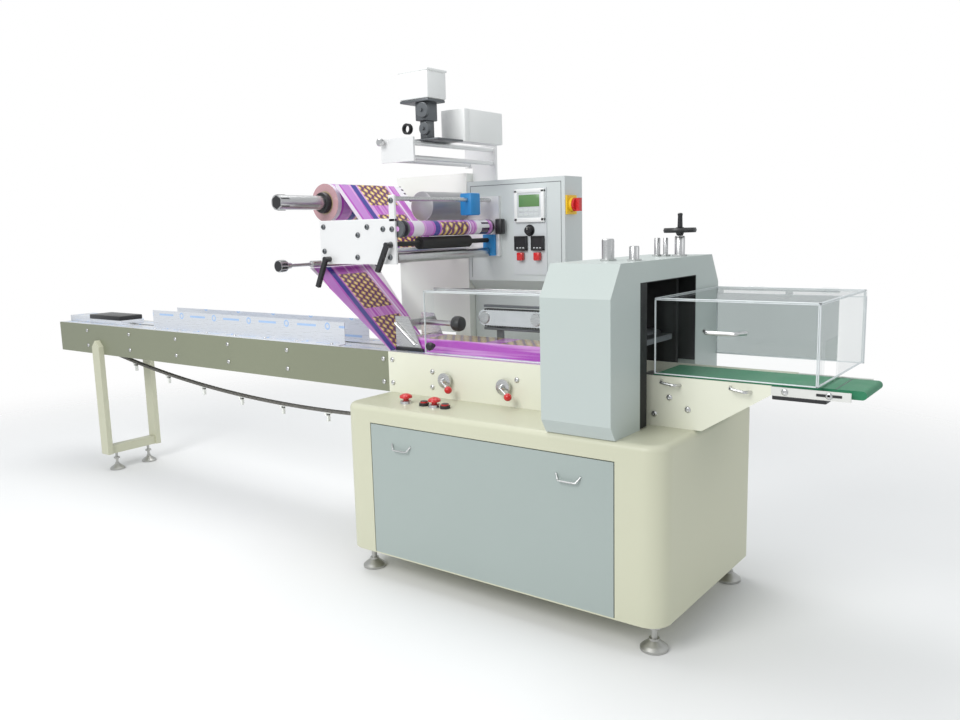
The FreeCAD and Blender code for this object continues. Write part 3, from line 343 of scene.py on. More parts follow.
def blend_colour(tree, factor, first, second, mode="MIX"):
    """A colour between two others; the factor and both colours are numbers or outputs."""
    item = tree.nodes.new("ShaderNodeMix")
    item.data_type = "RGBA"
    item.blend_type = mode
    for socket, value in ((item.inputs[0], factor), (item.inputs[6], first), (item.inputs[7], second)):
        if isinstance(value, (int, float)):
            socket.default_value = value
        elif isinstance(value, (tuple, list)):
            socket.default_value = (*value, 1.0)
        else:
            tree.links.new(value, socket)
    return item.outputs[2]


def finish(name, colour, rough=0.4, metal=0.0, effect=None, scale=6.0, relief=0.1, change=0.12, dust=0.15,
           coat=0.0):
    """A principled finish whose tone, relief and dust come from the shared groups."""
    material = bpy.data.materials.new(name)
    material.use_nodes = True
    tree = material.node_tree
    shader = tree.nodes["Principled BSDF"]
    if effect is GRAIN:
        source = add_group(tree, GRAIN, Relief=relief)
    else:
        source = add_group(tree, MOTTLE, Scale=scale, Relief=relief)
    dark = tuple(c * (1 - change) for c in colour)
    light = tuple(min(1.0, c * (1 + change * 0.6)) for c in colour)
    tone = blend_colour(tree, source.outputs["Tone"], dark, light)
    mask = add_group(tree, DUST, Amount=dust)
    tone = blend_colour(tree, mask.outputs["Mask"], tone, (0.62, 0.60, 0.55))
    tree.links.new(tone, shader.inputs["Base Color"])
    tree.links.new(source.outputs["Normal"], shader.inputs["Normal"])
    wear = math_node(tree, "MULTIPLY", source.outputs["Tone"], 0.18)
    tree.links.new(math_node(tree, "ADD", wear, rough - 0.09), shader.inputs["Roughness"])
    shader.inputs["Metallic"].default_value = metal
    shader.inputs["Coat Weight"].default_value = coat
    return material


print("effects to choose from:", [group.name for group in bpy.data.node_groups])

# %% [markdown]
# ## The colours of this machine
# The cabinet wears cream powder coat. The bed and the trough wear the same coat, the bed's copy lighter as
# painted light and the trough's darker and greener as painted shade. The panels, the guard and the control
# box are light grey. Plates of the film unit are polished, rods are ground steel, and knobs are black
# plastic. The inside of the guard's mouth is painted near black as painted shade.

# %% the finishes
CREAM = finish("cream_coat", (0.565, 0.568, 0.43), 0.42, scale=2.2, change=0.05, relief=0.25)
# A lighter copy of the cream coat: painted light on the bed.
CREAM_PAINTED_LIGHT = finish("cream_coat_painted_light", (0.76, 0.765, 0.64), 0.40, scale=2.2, change=0.05, relief=0.2)
PALE = finish("column_coat", (0.86, 0.87, 0.83), 0.42, scale=2.2, change=0.04, relief=0.2)
# A darker, greener copy of the cream coat: painted shade on the trough.
CREAM_PAINTED_SHADE = finish("cream_coat_painted_shade", (0.225, 0.24, 0.165), 0.38, scale=2.2, change=0.08, relief=0.2)
PANEL = finish("panel_coat", (0.345, 0.40, 0.38), 0.40, scale=2.6, change=0.05, relief=0.22)
GUARD = finish("guard_coat", (0.465, 0.52, 0.50), 0.40, scale=2.6, change=0.05, relief=0.22)
BOX = finish("box_coat", (0.61, 0.65, 0.645), 0.40, scale=3.0, change=0.05, relief=0.22)
BRIGHT = finish("polished_plate", (0.82, 0.82, 0.82), 0.32, 0.30, GRAIN, relief=0.03, change=0.012)
SILVER = finish("belt_silver", (0.78, 0.79, 0.80), 0.20, 0.85, scale=30, change=0.10, dust=0.05)
# Near black: painted shade for the inside of the guard's mouth.
MOUTH_SHADE = finish("mouth_painted_shade", (0.004, 0.005, 0.005), 0.6, scale=12, change=0.3, dust=0.0)
YELLOW = finish("switch_yellow", (0.88, 0.56, 0.02), 0.35, scale=20)
BLUE = finish("sensor_blue", (0.02, 0.26, 0.62), 0.35, scale=24)
GREY = finish("drum_grey", (0.36, 0.36, 0.37), 0.38, 0.5, scale=14)
STEEL = finish("ground_steel", (0.62, 0.62, 0.62), 0.28, 1.0, GRAIN, relief=0.08)
ZINC = finish("zinc_steel", (0.50, 0.50, 0.48), 0.42, 1.0, scale=40, relief=0.2)
DARK = finish("dark_steel", (0.16, 0.17, 0.18), 0.45, 0.8, scale=18, relief=0.3)
CHAIN = finish("oiled_chain", (0.24, 0.23, 0.21), 0.42, 0.9, scale=60, relief=0.3, change=0.3)
BLACK = finish("black_plastic", (0.016, 0.016, 0.018), 0.38, scale=30, change=0.2)
RED = finish("red_plastic", (0.62, 0.018, 0.02), 0.25, scale=20, coat=0.3, dust=0.05)
WHITE = finish("white_plastic", (0.72, 0.72, 0.69), 0.5, scale=14)
RUBBER = finish("black_rubber", (0.02, 0.02, 0.02), 0.7, scale=50, relief=0.5)
BELT = finish("green_belt", (0.022, 0.205, 0.098), 0.55, scale=9, relief=0.4, change=0.15)
FASCIA = finish("fascia_film", (0.62, 0.65, 0.66), 0.35, scale=10)
GLASS = finish("display_glass", (0.015, 0.03, 0.05), 0.08, scale=8, coat=0.5, dust=0.05)
LIT = finish("display_lit", (0.13, 0.27, 0.10), 0.2, scale=16, dust=0.0)
CASE = finish("coder_coat", (0.84, 0.85, 0.84), 0.42, scale=4.0, change=0.06)
print("finishes:", len(bpy.data.materials))

# %% [markdown]
# ## The protective film on the sheet metal
# New stainless sheet is sold under a thin film with a repeated mark, and the deck and the guides
# still carry it. Here the marks are small open rings and bars in pale blue, in staggered rows, made
# from the place of each point on the sheet, so they lie still when the camera moves.

# %% film-covered sheet
def cell_place(tree, value, size, shift=None):
    """Where a value lies inside its repeating cell, from -0.5 to 0.5."""
    scaled = math_node(tree, "DIVIDE", value, size)
    if shift is not None:
        scaled = math_node(tree, "ADD", scaled, shift)
    return math_node(tree, "SUBTRACT", math_node(tree, "FRACT", scaled), 0.5)


def film_sheet(name, colour, mark, pitch, rows):
    """Brushed sheet with rings and bars in staggered rows, each found by its distance in its cell."""
    material = finish(name, colour, 0.30, 0.30, GRAIN, relief=0.10, change=0.08)
    tree = material.node_tree
    shader = tree.nodes["Principled BSDF"]
    place = tree.nodes.new("ShaderNodeTexCoord")
    split = tree.nodes.new("ShaderNodeSeparateXYZ")
    tree.links.new(place.outputs["Object"], split.inputs[0])
    down = math_node(tree, "ADD", split.outputs["Z"], split.outputs["Y"])
    row = math_node(tree, "FLOOR", math_node(tree, "DIVIDE", down, rows))
    across = cell_place(tree, split.outputs["X"], pitch, math_node(tree, "MULTIPLY", row, 0.5))
    along = cell_place(tree, down, rows)
    far = math_node(tree, "SQRT", math_node(tree, "ADD",
                    math_node(tree, "POWER", math_node(tree, "MULTIPLY", across, pitch), 2.0),
                    math_node(tree, "POWER", math_node(tree, "MULTIPLY", along, rows), 2.0)))
    off_ring = math_node(tree, "ABSOLUTE", math_node(tree, "SUBTRACT", far, 0.011))
    ring = math_node(tree, "LESS_THAN", off_ring, 0.003)
    bar = math_node(tree, "MULTIPLY", math_node(tree, "LESS_THAN", math_node(tree, "ABSOLUTE", along), 0.055),
                    math_node(tree, "GREATER_THAN", math_node(tree, "ABSOLUTE", across), 0.27))
    mask = math_node(tree, "MULTIPLY", math_node(tree, "MAXIMUM", ring, bar), 0.55)
    old = shader.inputs["Base Color"].links[0].from_socket
    tree.links.new(blend_colour(tree, mask, old, mark), shader.inputs["Base Color"])
    tree.links.new(math_node(tree, "SUBTRACT", 0.55, mask), shader.inputs["Metallic"])
    return material


SHEET = film_sheet("film_on_steel", (0.78, 0.80, 0.84), (0.03, 0.30, 0.72), 0.230, 0.075)
print("protective film:", SHEET.name, "with", len(SHEET.node_tree.nodes), "nodes")

# %% [markdown]
# ## The packing film
# The film on the reel is printed: a purple ground with pale streaks, fields of gold diamonds, a navy
# stripe and pale margins with marks for the sealing. The print is generic. The stripes follow the
# place across the film, and the place along it comes from the run and the drop of the web.

# %% the print as a group
def make_print():
    """Strips, diamonds and margins by the place across the film and the run along it."""
    diamond_wide, diamond_long = 0.0236, 0.036
    group, source, sink = new_group("Print", [("Base", "NodeSocketColor", None),
                                              ("Tall", "NodeSocketFloat", 2.5)],
                                    [("Colour", "NodeSocketColor")])
    place = group.nodes.new("ShaderNodeTexCoord")
    split = group.nodes.new("ShaderNodeSeparateXYZ")
    group.links.new(place.outputs["Object"], split.inputs[0])
    run = math_node(group, "SUBTRACT", split.outputs["X"], split.outputs["Z"])
    width = split.outputs["Y"]

    def strip(low, high):
        """1 where the place across the film lies between two values."""
        return math_node(group, "MULTIPLY", math_node(group, "GREATER_THAN", width, low),
                         math_node(group, "LESS_THAN", width, high))

    stretched = group.nodes.new("ShaderNodeCombineXYZ")
    streaks = group.nodes.new("ShaderNodeTexNoise")
    streaks.inputs["Scale"].default_value = 1.0
    for axis, scale in (("X", 2.5), ("Y", 55.0), ("Z", source.outputs["Tall"])):
        group.links.new(math_node(group, "MULTIPLY", split.outputs[axis], scale), stretched.inputs[axis])
    group.links.new(stretched.outputs[0], streaks.inputs["Vector"])
    pale = math_node(group, "MULTIPLY", math_node(group, "SUBTRACT", streaks.outputs["Fac"], 0.44), 4.5)
    pale = math_node(group, "MINIMUM", math_node(group, "MAXIMUM", pale, 0.0), 0.8)
    ground = blend_colour(group, pale, source.outputs["Base"], (0.74, 0.42, 0.74))
    block = math_node(group, "LESS_THAN", math_node(group, "ABSOLUTE", cell_place(group, run, 0.31)), 0.40)
    field = math_node(group, "MULTIPLY", strip(-0.062, 0.080), block)
    row = math_node(group, "FLOOR", math_node(group, "DIVIDE", width, diamond_wide))
    across = math_node(group, "ABSOLUTE", cell_place(group, width, diamond_wide))
    shift = math_node(group, "MULTIPLY", row, 0.5)
    along = math_node(group, "ABSOLUTE", cell_place(group, run, diamond_long, shift))
    span = math_node(group, "ADD", across, along)
    diamond = math_node(group, "MULTIPLY", field, math_node(group, "LESS_THAN", span, 0.45))
    heart = math_node(group, "MULTIPLY", field, math_node(group, "LESS_THAN", span, 0.20))
    sealing_mark = math_node(group, "MULTIPLY", strip(0.156, 0.200),
                             math_node(group, "GREATER_THAN", cell_place(group, run, 0.026), 0.05))
    plum, gold, pale_gold = (0.13, 0.03, 0.11), (0.70, 0.46, 0.12), (0.90, 0.78, 0.42)
    navy, black = (0.03, 0.03, 0.28), (0.05, 0.02, 0.06)
    colour = ground
    for mask, ink in ((field, plum), (diamond, gold), (heart, pale_gold), (strip(-0.094, -0.070), navy),
                      (strip(0.088, 0.096), (0.80, 0.70, 0.85)), (strip(-0.140, -0.104), (0.52, 0.22, 0.60)),
                      (strip(-0.200, -0.150), (0.74, 0.68, 0.76)), (strip(0.128, 0.200), (0.80, 0.78, 0.82)),
                      (sealing_mark, black)):
        colour = blend_colour(group, mask, colour, ink)
    group.links.new(colour, sink.inputs["Colour"])
    return group


PRINT = make_print()
print("print group nodes:", len(PRINT.nodes))

# %% [markdown]
# ## Film, reel and tube
# The web and the tube wear the print, with the streaks drawn out more steeply on the tube's upright
# sides. The reel adds the fine rings of its wound edges round a card core.

# %% film, reel and tube
def printed_film(name, tall=2.5):
    """Purple film under the print; tall draws the streaks out on upright faces."""
    material = finish(name, (0.46, 0.075, 0.50), 0.22, scale=12, relief=0.05, coat=0.4, dust=0.0)
    tree = material.node_tree
    shader = tree.nodes["Principled BSDF"]
    printed = add_group(tree, PRINT, Tall=tall)
    tree.links.new(shader.inputs["Base Color"].links[0].from_socket, printed.inputs["Base"])
    tree.links.new(printed.outputs["Colour"], shader.inputs["Base Color"])
    return material


def reel_side(name):
    """The wound edges of the reel: fine rings round its axle, paler than the print."""
    material = printed_film(name)
    tree = material.node_tree
    shader = tree.nodes["Principled BSDF"]
    place = tree.nodes.new("ShaderNodeTexCoord")
    split = tree.nodes.new("ShaderNodeSeparateXYZ")
    tree.links.new(place.outputs["Object"], split.inputs[0])
    low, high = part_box("film_reel")
    x, z = (low.x + high.x) / 2, (low.z + high.z) / 2
    far = math_node(tree, "SQRT", math_node(tree, "ADD",
                    math_node(tree, "POWER", math_node(tree, "SUBTRACT", split.outputs["X"], x), 2.0),
                    math_node(tree, "POWER", math_node(tree, "SUBTRACT", split.outputs["Z"], z), 2.0)))
    fine = math_node(tree, "FRACT", math_node(tree, "MULTIPLY", far, 420.0))
    rings = blend_colour(tree, fine, (0.40, 0.20, 0.22), (0.55, 0.36, 0.38))
    card = math_node(tree, "LESS_THAN", far, 0.040)
    rings = blend_colour(tree, card, rings, (0.42, 0.31, 0.20))
    beside = math_node(tree, "ABSOLUTE", split.outputs["Y"])
    edge = math_node(tree, "GREATER_THAN", beside, abs(low.y) - 0.0006)
    old = shader.inputs["Base Color"].links[0].from_socket
    tree.links.new(blend_colour(tree, edge, old, rings), shader.inputs["Base Color"])
    return material


FILM, REEL, TUBE = printed_film("printed_film"), reel_side("reel_film"), printed_film("tube_film", 62)
print("films:", FILM.name, REEL.name, TUBE.name)

# %% [markdown]
# ## Clear sheet
# The covers are clear acrylic. Most light goes straight through, some is mirrored at a
# glancing angle, and the sawn edges look bright because light runs along inside the sheet.

# %% clear sheet
def clear_sheet(name, tint, share, until=None):
    """See-through sheet: the mirror's share grows with the fourth power of how glancing the view is."""
    material = bpy.data.materials.new(name)
    material.use_nodes = True
    tree = material.node_tree
    tree.nodes.remove(tree.nodes["Principled BSDF"])
    out = tree.nodes["Material Output"]
    through = tree.nodes.new("ShaderNodeBsdfTransparent")
    mirror = tree.nodes.new("ShaderNodeBsdfGlossy")
    mix = tree.nodes.new("ShaderNodeMixShader")
    angle = tree.nodes.new("ShaderNodeLayerWeight")
    source = add_group(tree, MOTTLE, Scale=9.0, Relief=0.02)
    through.inputs["Color"].default_value = (*tint, 1)
    if until is not None:
        place = tree.nodes.new("ShaderNodeTexCoord")
        split = tree.nodes.new("ShaderNodeSeparateXYZ")
        tree.links.new(place.outputs["Object"], split.inputs[0])
        beyond = math_node(tree, "GREATER_THAN", split.outputs["X"], until)
        tree.links.new(blend_colour(tree, beyond, tint, (0.985, 0.992, 0.992)), through.inputs["Color"])
    mirror.inputs["Roughness"].default_value = 0.06
    angle.inputs["Blend"].default_value = 0.5
    glance = math_node(tree, "MULTIPLY", math_node(tree, "POWER", angle.outputs["Facing"], 4.0), 0.45)
    haze = math_node(tree, "MULTIPLY", source.outputs["Tone"], share)
    tree.links.new(math_node(tree, "ADD", glance, haze), mix.inputs["Fac"])
    tree.links.new(source.outputs["Normal"], mirror.inputs["Normal"])
    tree.links.new(through.outputs[0], mix.inputs[1])
    tree.links.new(mirror.outputs[0], mix.inputs[2])
    tree.links.new(mix.outputs[0], out.inputs["Surface"])
    return material


CLEAR = clear_sheet("clear_acrylic", (0.985, 0.992, 0.992), 0.03)
SMOKE = clear_sheet("clear_back_sheet", (0.64, 0.675, 0.67), 0.04, until=1.706)
EDGE = finish("acrylic_edge", (0.72, 0.76, 0.77), 0.25, scale=20, dust=0.0)
print("clear sheets:", CLEAR.name, SMOKE.name, "with edges of", EDGE.name)

# %% [markdown]
# ## The CAD nodes take their finishes
# Each node of the record names a slot, and each slot has one finish here. A few nodes have a finish
# of their own, where one slot covers parts that look different on the real machine. The bed's plates take a
# lighter copy of the cream coat as painted light, the trough's plates a darker one as painted shade, and the
# jaw plates a near-black finish as painted shade.

# %% assign
by_slot = {"cream_paint": CREAM, "panel_paint": PANEL, "guard_paint": GUARD, "box_paint": BOX,
           "brushed_steel": SHEET, "bright_steel": STEEL, "zinc_steel": ZINC, "dark_steel": DARK,
           "chain_steel": CHAIN, "black_plastic": BLACK, "red_plastic": RED, "white_plastic": WHITE,
           "black_rubber": RUBBER, "green_belt": BELT, "printed_film": FILM, "clear_sheet": CLEAR,
           "fascia_film": FASCIA, "screen_glass": GLASS, "coder_case": CASE}
# The bed's lighter cream, the trough's darker cream and the jaw plates' near black are painted light and
# painted shade.
own = {"film_reel": REEL, "film_tube": TUBE, "film_former": STEEL, "main_switch_plate": YELLOW,
       "hold_down_belt": SILVER, "hold_down_frame": DARK, "jaw_plates": MOUTH_SHADE, "infeed_blocks": BLACK,
       "bed_front_plate": CREAM_PAINTED_LIGHT, "bed_rear_plate": CREAM_PAINTED_LIGHT, "rear_column": PALE, "leg_frame": CREAM,
       "infeed_front_plate": CREAM_PAINTED_SHADE, "infeed_rear_plate": CREAM_PAINTED_SHADE, "infeed_end_plate": CREAM_PAINTED_SHADE,
       "film_near_plate": BRIGHT, "film_far_plate": BRIGHT, "coder_frame": BRIGHT, "exit_cover_back": SMOKE}
for part in record["subparts"]:
    mesh = nodes[part["node"]].data
    mesh.materials.clear()
    mesh.materials.append(own.get(part["node"]) or by_slot[part["material_slot"]])
print("slots:", len(by_slot))

# %% [markdown]
# ## Screws and bolts
# Button-head screws hold the trough sides, the bed, the guides and the film unit's plate. A head is
# a turned profile: a short cylinder that rounds over to a flat top with a socket in it.

# %% screws
def head(axis, outward, radius, height):
    """A button head from its seat outward: flat rim, round shoulder, sunk socket."""
    profile = [(0, 0), (0, radius), (0.45 * height, radius), (0.85 * height, 0.8 * radius),
               (height, 0.55 * radius), (height, 0.42 * radius), (0.5 * height, 0.40 * radius),
               (0.5 * height, 0)]
    return turned([(outward * a, r) for a, r in profile], axis, (0, 0, 0), 18)


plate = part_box("infeed_front_plate")[0].y
rear_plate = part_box("infeed_rear_plate")[1].y
trough_spots = [(x, 0, z) for x in np.arange(-1.629, -0.1, 0.3635) for z in (0.610, 0.682)]
bed_spots = [(0.550, 0, 0.657), (0.548, 0, 0.605), (0.889, 0, 0.659), (0.372, 0, 0.605), (0.372, 0, 0.685),
             (0.330, 0, 0.605), (0.330, 0, 0.685), (1.392, 0, 0.655), (1.445, 0, 0.627), (1.348, 0, 0.605)]
near_heads = copies(head("Y", -1, 0.0085, 0.005), np.array(trough_spots + bed_spots) + (0, plate, 0))
far_heads = copies(head("Y", 1, 0.0085, 0.005), np.array(trough_spots + bed_spots) + (0, rear_plate, 0))
piece("side_screws", join(near_heads, far_heads), STEEL, "machine")
guide_x = np.arange(-1.10, 0.08, 0.19)
guide_spots = [(x, y, 0.714) for x in guide_x for y in (-0.084, 0.084)]
piece("guide_screws", copies(head("Z", 1, 0.006, 0.004), guide_spots), STEEL, "machine")
frame_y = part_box("film_near_plate")[0].y
frame_spots = [(x, frame_y, z) for x, z in (
    (0.423, 1.136), (0.381, 1.111), (0.376, 1.040), (0.492, 1.128), (0.223, 1.140),
    (0.223, 1.060), (0.530, 1.215), (0.530, 1.127), (0.523, 1.080), (0.519, 1.040))]
piece("film_plate_screws", copies(head("Y", -1, 0.009, 0.006), frame_spots), DARK, "machine")
print("screws:", len(trough_spots + bed_spots) * 2 + len(guide_spots) + len(frame_spots))

# %% [markdown]
# ## The roller chain
# The chain is one fixed loop: level above, round the drive wheel, down to the idler and back in a
# long arc. Side plates and pin heads are copies of one link, turned to the line at each pitch.

# %% chain
tail, drive, idler = np.array([-1.825, 0.640]), np.array([0.430, 0.640]), np.array([0.430, 0.496])
wheel, sag = 0.0375, 7.690 - 0.0045
half = (idler - tail) / 2
rise = math.sqrt((sag - wheel) ** 2 - half @ half)
arc_centre = (tail + idler) / 2 + rise * np.array([-half[1], half[0]]) / np.linalg.norm(half)


def arc(centre, radius, start, end, count):
    """Points on a circle between two bearings: centre plus radius times (cos, sin)."""
    turn = np.radians(np.linspace(start, end, count))
    return centre + radius * np.stack([np.cos(turn), np.sin(turn)], -1)


def bearing(point, centre):
    """The angle of a point seen from a centre."""
    return math.degrees(math.atan2(*(point - centre)[::-1]))


left, right = bearing(tail, arc_centre), bearing(idler, arc_centre)
line = np.concatenate([
    np.linspace(tail + (0, wheel), drive + (0, wheel), 200), arc(drive, wheel, 90, 0, 16),
    arc(idler, wheel, 0, right, 16), arc(arc_centre, sag, right, left, 400),
    arc(tail, wheel, left + 360, 90, 24)])
print("chain line points:", len(line))

# %% [markdown]
# ## Links along the line
# A chain has a pin every half inch. The line's length is measured, the pins are set out along it, and
# each link is turned to the way the line runs there. Inner and outer plates take turns.

# %% links along the line
steps = np.linalg.norm(np.diff(line, axis=0), axis=1)
reach = np.concatenate([[0], np.cumsum(steps)])
pitch = 0.0127
count = int(reach[-1] / pitch) // 2 * 2
at = np.linspace(0, reach[-1], count, endpoint=False)
spot = np.stack([np.interp(at, reach, line[:, 0]), np.interp(at, reach, line[:, 1])], -1)
ahead = np.stack([np.interp(at + pitch, reach, line[:, axis]) for axis in (0, 1)], -1) - spot
ahead[-1] = ahead[-2]
ahead /= np.linalg.norm(ahead, axis=1)[:, None]


def along_line(shape, places, ways):
    """The shape at each place of the XZ plane, its X turned to the way there."""
    points, faces = shape
    x = places[:, :1] + points[:, 0] * ways[:, :1] - points[:, 2] * ways[:, 1:]
    z = places[:, 1:] + points[:, 0] * ways[:, 1:] + points[:, 2] * ways[:, :1]
    y = np.broadcast_to(points[:, 1], x.shape)
    moved = np.stack([x, y, z], -1).reshape(-1, 3)
    shifted = faces[None] + (np.arange(len(places)) * len(points))[:, None, None]
    return moved, shifted.reshape(-1, faces.shape[1])


def link_plate(y, length=0.0205, height=0.0105, thick=0.0014):
    """One side plate: a thin slab that reaches past both of its pins."""
    return slab((-0.004, y - thick / 2, -height / 2), (length - 0.004, y + thick / 2, height / 2), 0.0006, 2)


inner = along_line(join(link_plate(-0.0078), link_plate(0.0078)), spot[::2], ahead[::2])
outer = along_line(join(link_plate(-0.0094), link_plate(0.0094)), spot[1::2], ahead[1::2])
pin = turned([(-0.0108, 0), (-0.0108, 0.0022), (0.0108, 0.0022), (0.0108, 0)], "Y", (0, 0, 0), 8)
roller = turned([(-0.0070, 0), (-0.0070, 0.0042), (0.0070, 0.0042), (0.0070, 0)], "Y", (0, 0, 0), 10)
links = join(inner, outer, along_line(pin, spot, ahead), along_line(roller, spot, ahead))
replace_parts(piece("chain_links", links, CHAIN, "machine", False), "infeed_chain")
print("chain links:", count, "length m:", round(float(reach[-1]), 2))

# %% [markdown]
# ## The pushers
# Each pusher is a pale hooked finger on a foot that clips to the chain. Six of them hang on the lower
# run, below the arc at even steps.

# %% pushers
push_x = -1.420 + 0.266 * np.arange(6)
push_z = arc_centre[1] - np.sqrt(sag ** 2 - (push_x - arc_centre[0]) ** 2)
foot = slab((-0.019, -0.0070, -0.0100), (0.019, 0.0070, -0.0045), 0.001, 2)
finger = slab((-0.0055, -0.0065, -0.043), (0.0050, 0.0065, -0.006), 0.002, 3)
hooked = slab((-0.016, -0.0065, -0.0200), (0.0050, 0.0065, -0.006), 0.002, 3)
pushers = copies(join(foot, finger, hooked), np.stack([push_x, 0 * push_x, push_z], -1))
piece("chain_pushers", pushers, PALE, "machine", False)

# %% [markdown]
# ## The pads at the infeed end
# A black pad lies on a pale channel where the products are laid on; a plain end block closes it.

# %% infeed pads
channel = slab((-1.8845, -0.0595, 0.7122), (-1.700, 0.0595, 0.741), 0.002)
base = slab((-1.699, -0.0595, 0.7122), (-1.420, 0.0595, 0.731), 0.002)
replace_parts(piece("infeed_channel", join(channel, base), SHEET, "machine"), "infeed_blocks")
pad = slab((-1.701, -0.0595, 0.7305), (-1.430, 0.0595, 0.752), 0.004)
piece("infeed_pad", pad, BLACK, "machine")

# %% [markdown]
# ## Posts on the guard
# The posts on the guard guide the upper jaw's block. They differ in width, and each has a nut at
# its foot. A post is a turned profile with a broken edge at the top.

# %% posts and nuts
guard_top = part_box("guard_hood")[1].z
posts = [(1.223, -0.150, 0.0170, 0.060), (1.302, -0.150, 0.0135, 0.040), (1.228, 0.150, 0.0090, 0.055),
         (1.255, 0.150, 0.0072, 0.055), (1.300, 0.150, 0.0150, 0.060)]
rods = [turned([(-0.004, 0.0), (-0.004, r), (h - 0.003, r), (h, r * 0.85), (h, 0.0)],
               "Z", (x, y, guard_top), 36) for x, y, r, h in posts]
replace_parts(piece("guard_posts", join(*rods), STEEL, "machine"), "spring_posts")
collars = [turned([(0, r), (0, r + 0.008), (0.005, r + 0.009), (0.006, r)], "Z", (x, y, guard_top), 6)
           for x, y, r, h in posts]
piece("post_nuts", join(*collars), STEEL, "machine", False)

# %% [markdown]
# ## Lock nuts of the feet
# A machine like this stands on screwed feet, and each foot has a lock nut. A nut is a turned profile
# with six steps round, which gives its flats for nothing.

# %% lock nuts
feet = [(0.395, -0.270), (0.395, 0.270), (1.424, -0.270), (1.424, 0.270)]
nuts = [turned([(0, 0.009), (0, 0.019), (0.010, 0.019), (0.010, 0.009)], "Z", (x, y, 0.060), 6)
        for x, y in feet]
leg_nuts = [turned([(0, 0.006), (0, 0.014), (0.008, 0.014), (0.008, 0.006)], "Z", (-1.525, y, 0.052), 6)
            for y in (-0.085, 0.085)]
piece("foot_nuts", join(*nuts, *leg_nuts), ZINC, "machine", False)

# %% [markdown]
# ## The pressure wheel
# The hand wheel on the widest rear post sets the jaws' pressure. It has a rim, a hub, three spokes and
# an upright grip, all one casting, so they are one piece that turns with the wheel.

# %% pressure wheel
wheel_centre = np.array([1.300, 0.150, guard_top + 0.0765])
spoke_ways = [np.array([math.cos(a), math.sin(a), 0]) for a in np.radians([-66, 54, 174])]
rim = turned([(-0.006, 0.040), (-0.007, 0.046), (0, 0.0485), (0.007, 0.046), (0.006, 0.040),
              (-0.006, 0.040)], "Z", wheel_centre, 48)
hub = turned([(-0.016, 0.0), (-0.016, 0.0085), (-0.008, 0.012), (0.008, 0.012), (0.010, 0.007),
              (0.010, 0)], "Z", wheel_centre, 28)
spokes = [tube(np.linspace(wheel_centre, wheel_centre + 0.043 * way, 4), 0.0045, 8) for way in spoke_ways]
grip = turned([(0.0, 0.0), (0.0, 0.0045), (0.006, 0.0045), (0.010, 0.0075), (0.040, 0.0066),
               (0.047, 0.0075), (0.050, 0.005), (0.050, 0)], "Z", wheel_centre + 0.034 * spoke_ways[0], 20)
top_wheel = piece("top_wheel_parts", join(rim, hub, *spokes, grip), BLACK, "top_wheel")
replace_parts(top_wheel, "top_handwheel")

# %% [markdown]
# ## The control box
# On its front sit a display over two rows of keys, two temperature meters, a speed dial and two
# red rocker switches. Nothing is written on them.

# %% control box front
screen_low, screen_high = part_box("operator_screen")
front = screen_low.y
x0, x1, z0, z1 = screen_low.x, screen_high.x, screen_low.z, screen_high.z
bezel = [slab((x0 - 0.003, front - 0.003, low), (x1 + 0.003, front + 0.008, high), 0.002)
         for low, high in ((z0 - 0.003, z0 + 0.012), (z1 - 0.010, z1 + 0.003))]
bezel += [slab((low, front - 0.003, z0), (high, front + 0.008, z1), 0.002)
          for low, high in ((x0 - 0.003, x0 + 0.010), (x1 - 0.010, x1 + 0.003))]
piece("screen_bezel", join(*bezel), CASE, "machine")
panel = slab((x0 + 0.009, front - 0.0004, z0 + 0.010), (x1 - 0.009, front + 0.002, z1 - 0.009), 0.0003)
piece("screen_panel", panel, FASCIA, "machine")
lit = slab((x0 + 0.016, front - 0.0012, z0 + 0.050), (x1 - 0.016, front + 0.001, z1 - 0.017), 0.0004)
piece("screen_face", lit, LIT, "machine")
keys = [slab((x, front - 0.0016, z), (x + 0.016, front, z + 0.010), 0.0008, 2)
        for x in np.arange(0.657, 0.735, 0.021) for z in (1.160, 1.175)]
piece("screen_keys", join(*keys), BOX, "machine")

# %% [markdown]
# ## Rockers and meters
# Two square meters stand over two red rocker switches. Each meter gets a raised frame and three small
# keys, and its dark window is the CAD's own face.

# %% rockers and meters
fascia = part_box("control_fascia")[0].y
meter_x = np.array([0.6605, 0.7305])
rockers = [slab((x - 0.0118, fascia - 0.0185, 1.0070), (x + 0.0118, fascia, 1.0350), 0.003) for x in meter_x]
piece("rocker_switches", join(*rockers), RED, "machine")
keys = [slab((x + dx, fascia - 0.0112, 1.049), (x + dx + 0.007, fascia - 0.009, 1.053), 0.0004, 2)
        for x in meter_x for dx in (-0.016, -0.0035, 0.009)]
piece("meter_keys", join(*keys), FASCIA, "machine")
frames = []
for x in meter_x:
    left_x, right_x = x - 0.0255, x + 0.0255
    for low, high in (((left_x, 1.0415), (right_x, 1.047)), ((left_x, 1.0865), (right_x, 1.092)),
                      ((left_x, 1.0415), (x - 0.021, 1.092)), ((x + 0.021, 1.0415), (right_x, 1.092))):
        frames.append(slab((low[0], fascia - 0.0125, low[1]), (high[0], fascia - 0.002, high[1]), 0.0012, 2))
piece("meter_frames", join(*frames), BLACK, "machine")

# %% [markdown]
# ## The speed dial and the door
# The dial is a skirted knob with a white mark. The door of the box shows only as a thin dark seam, so
# three thin strips stand for it.

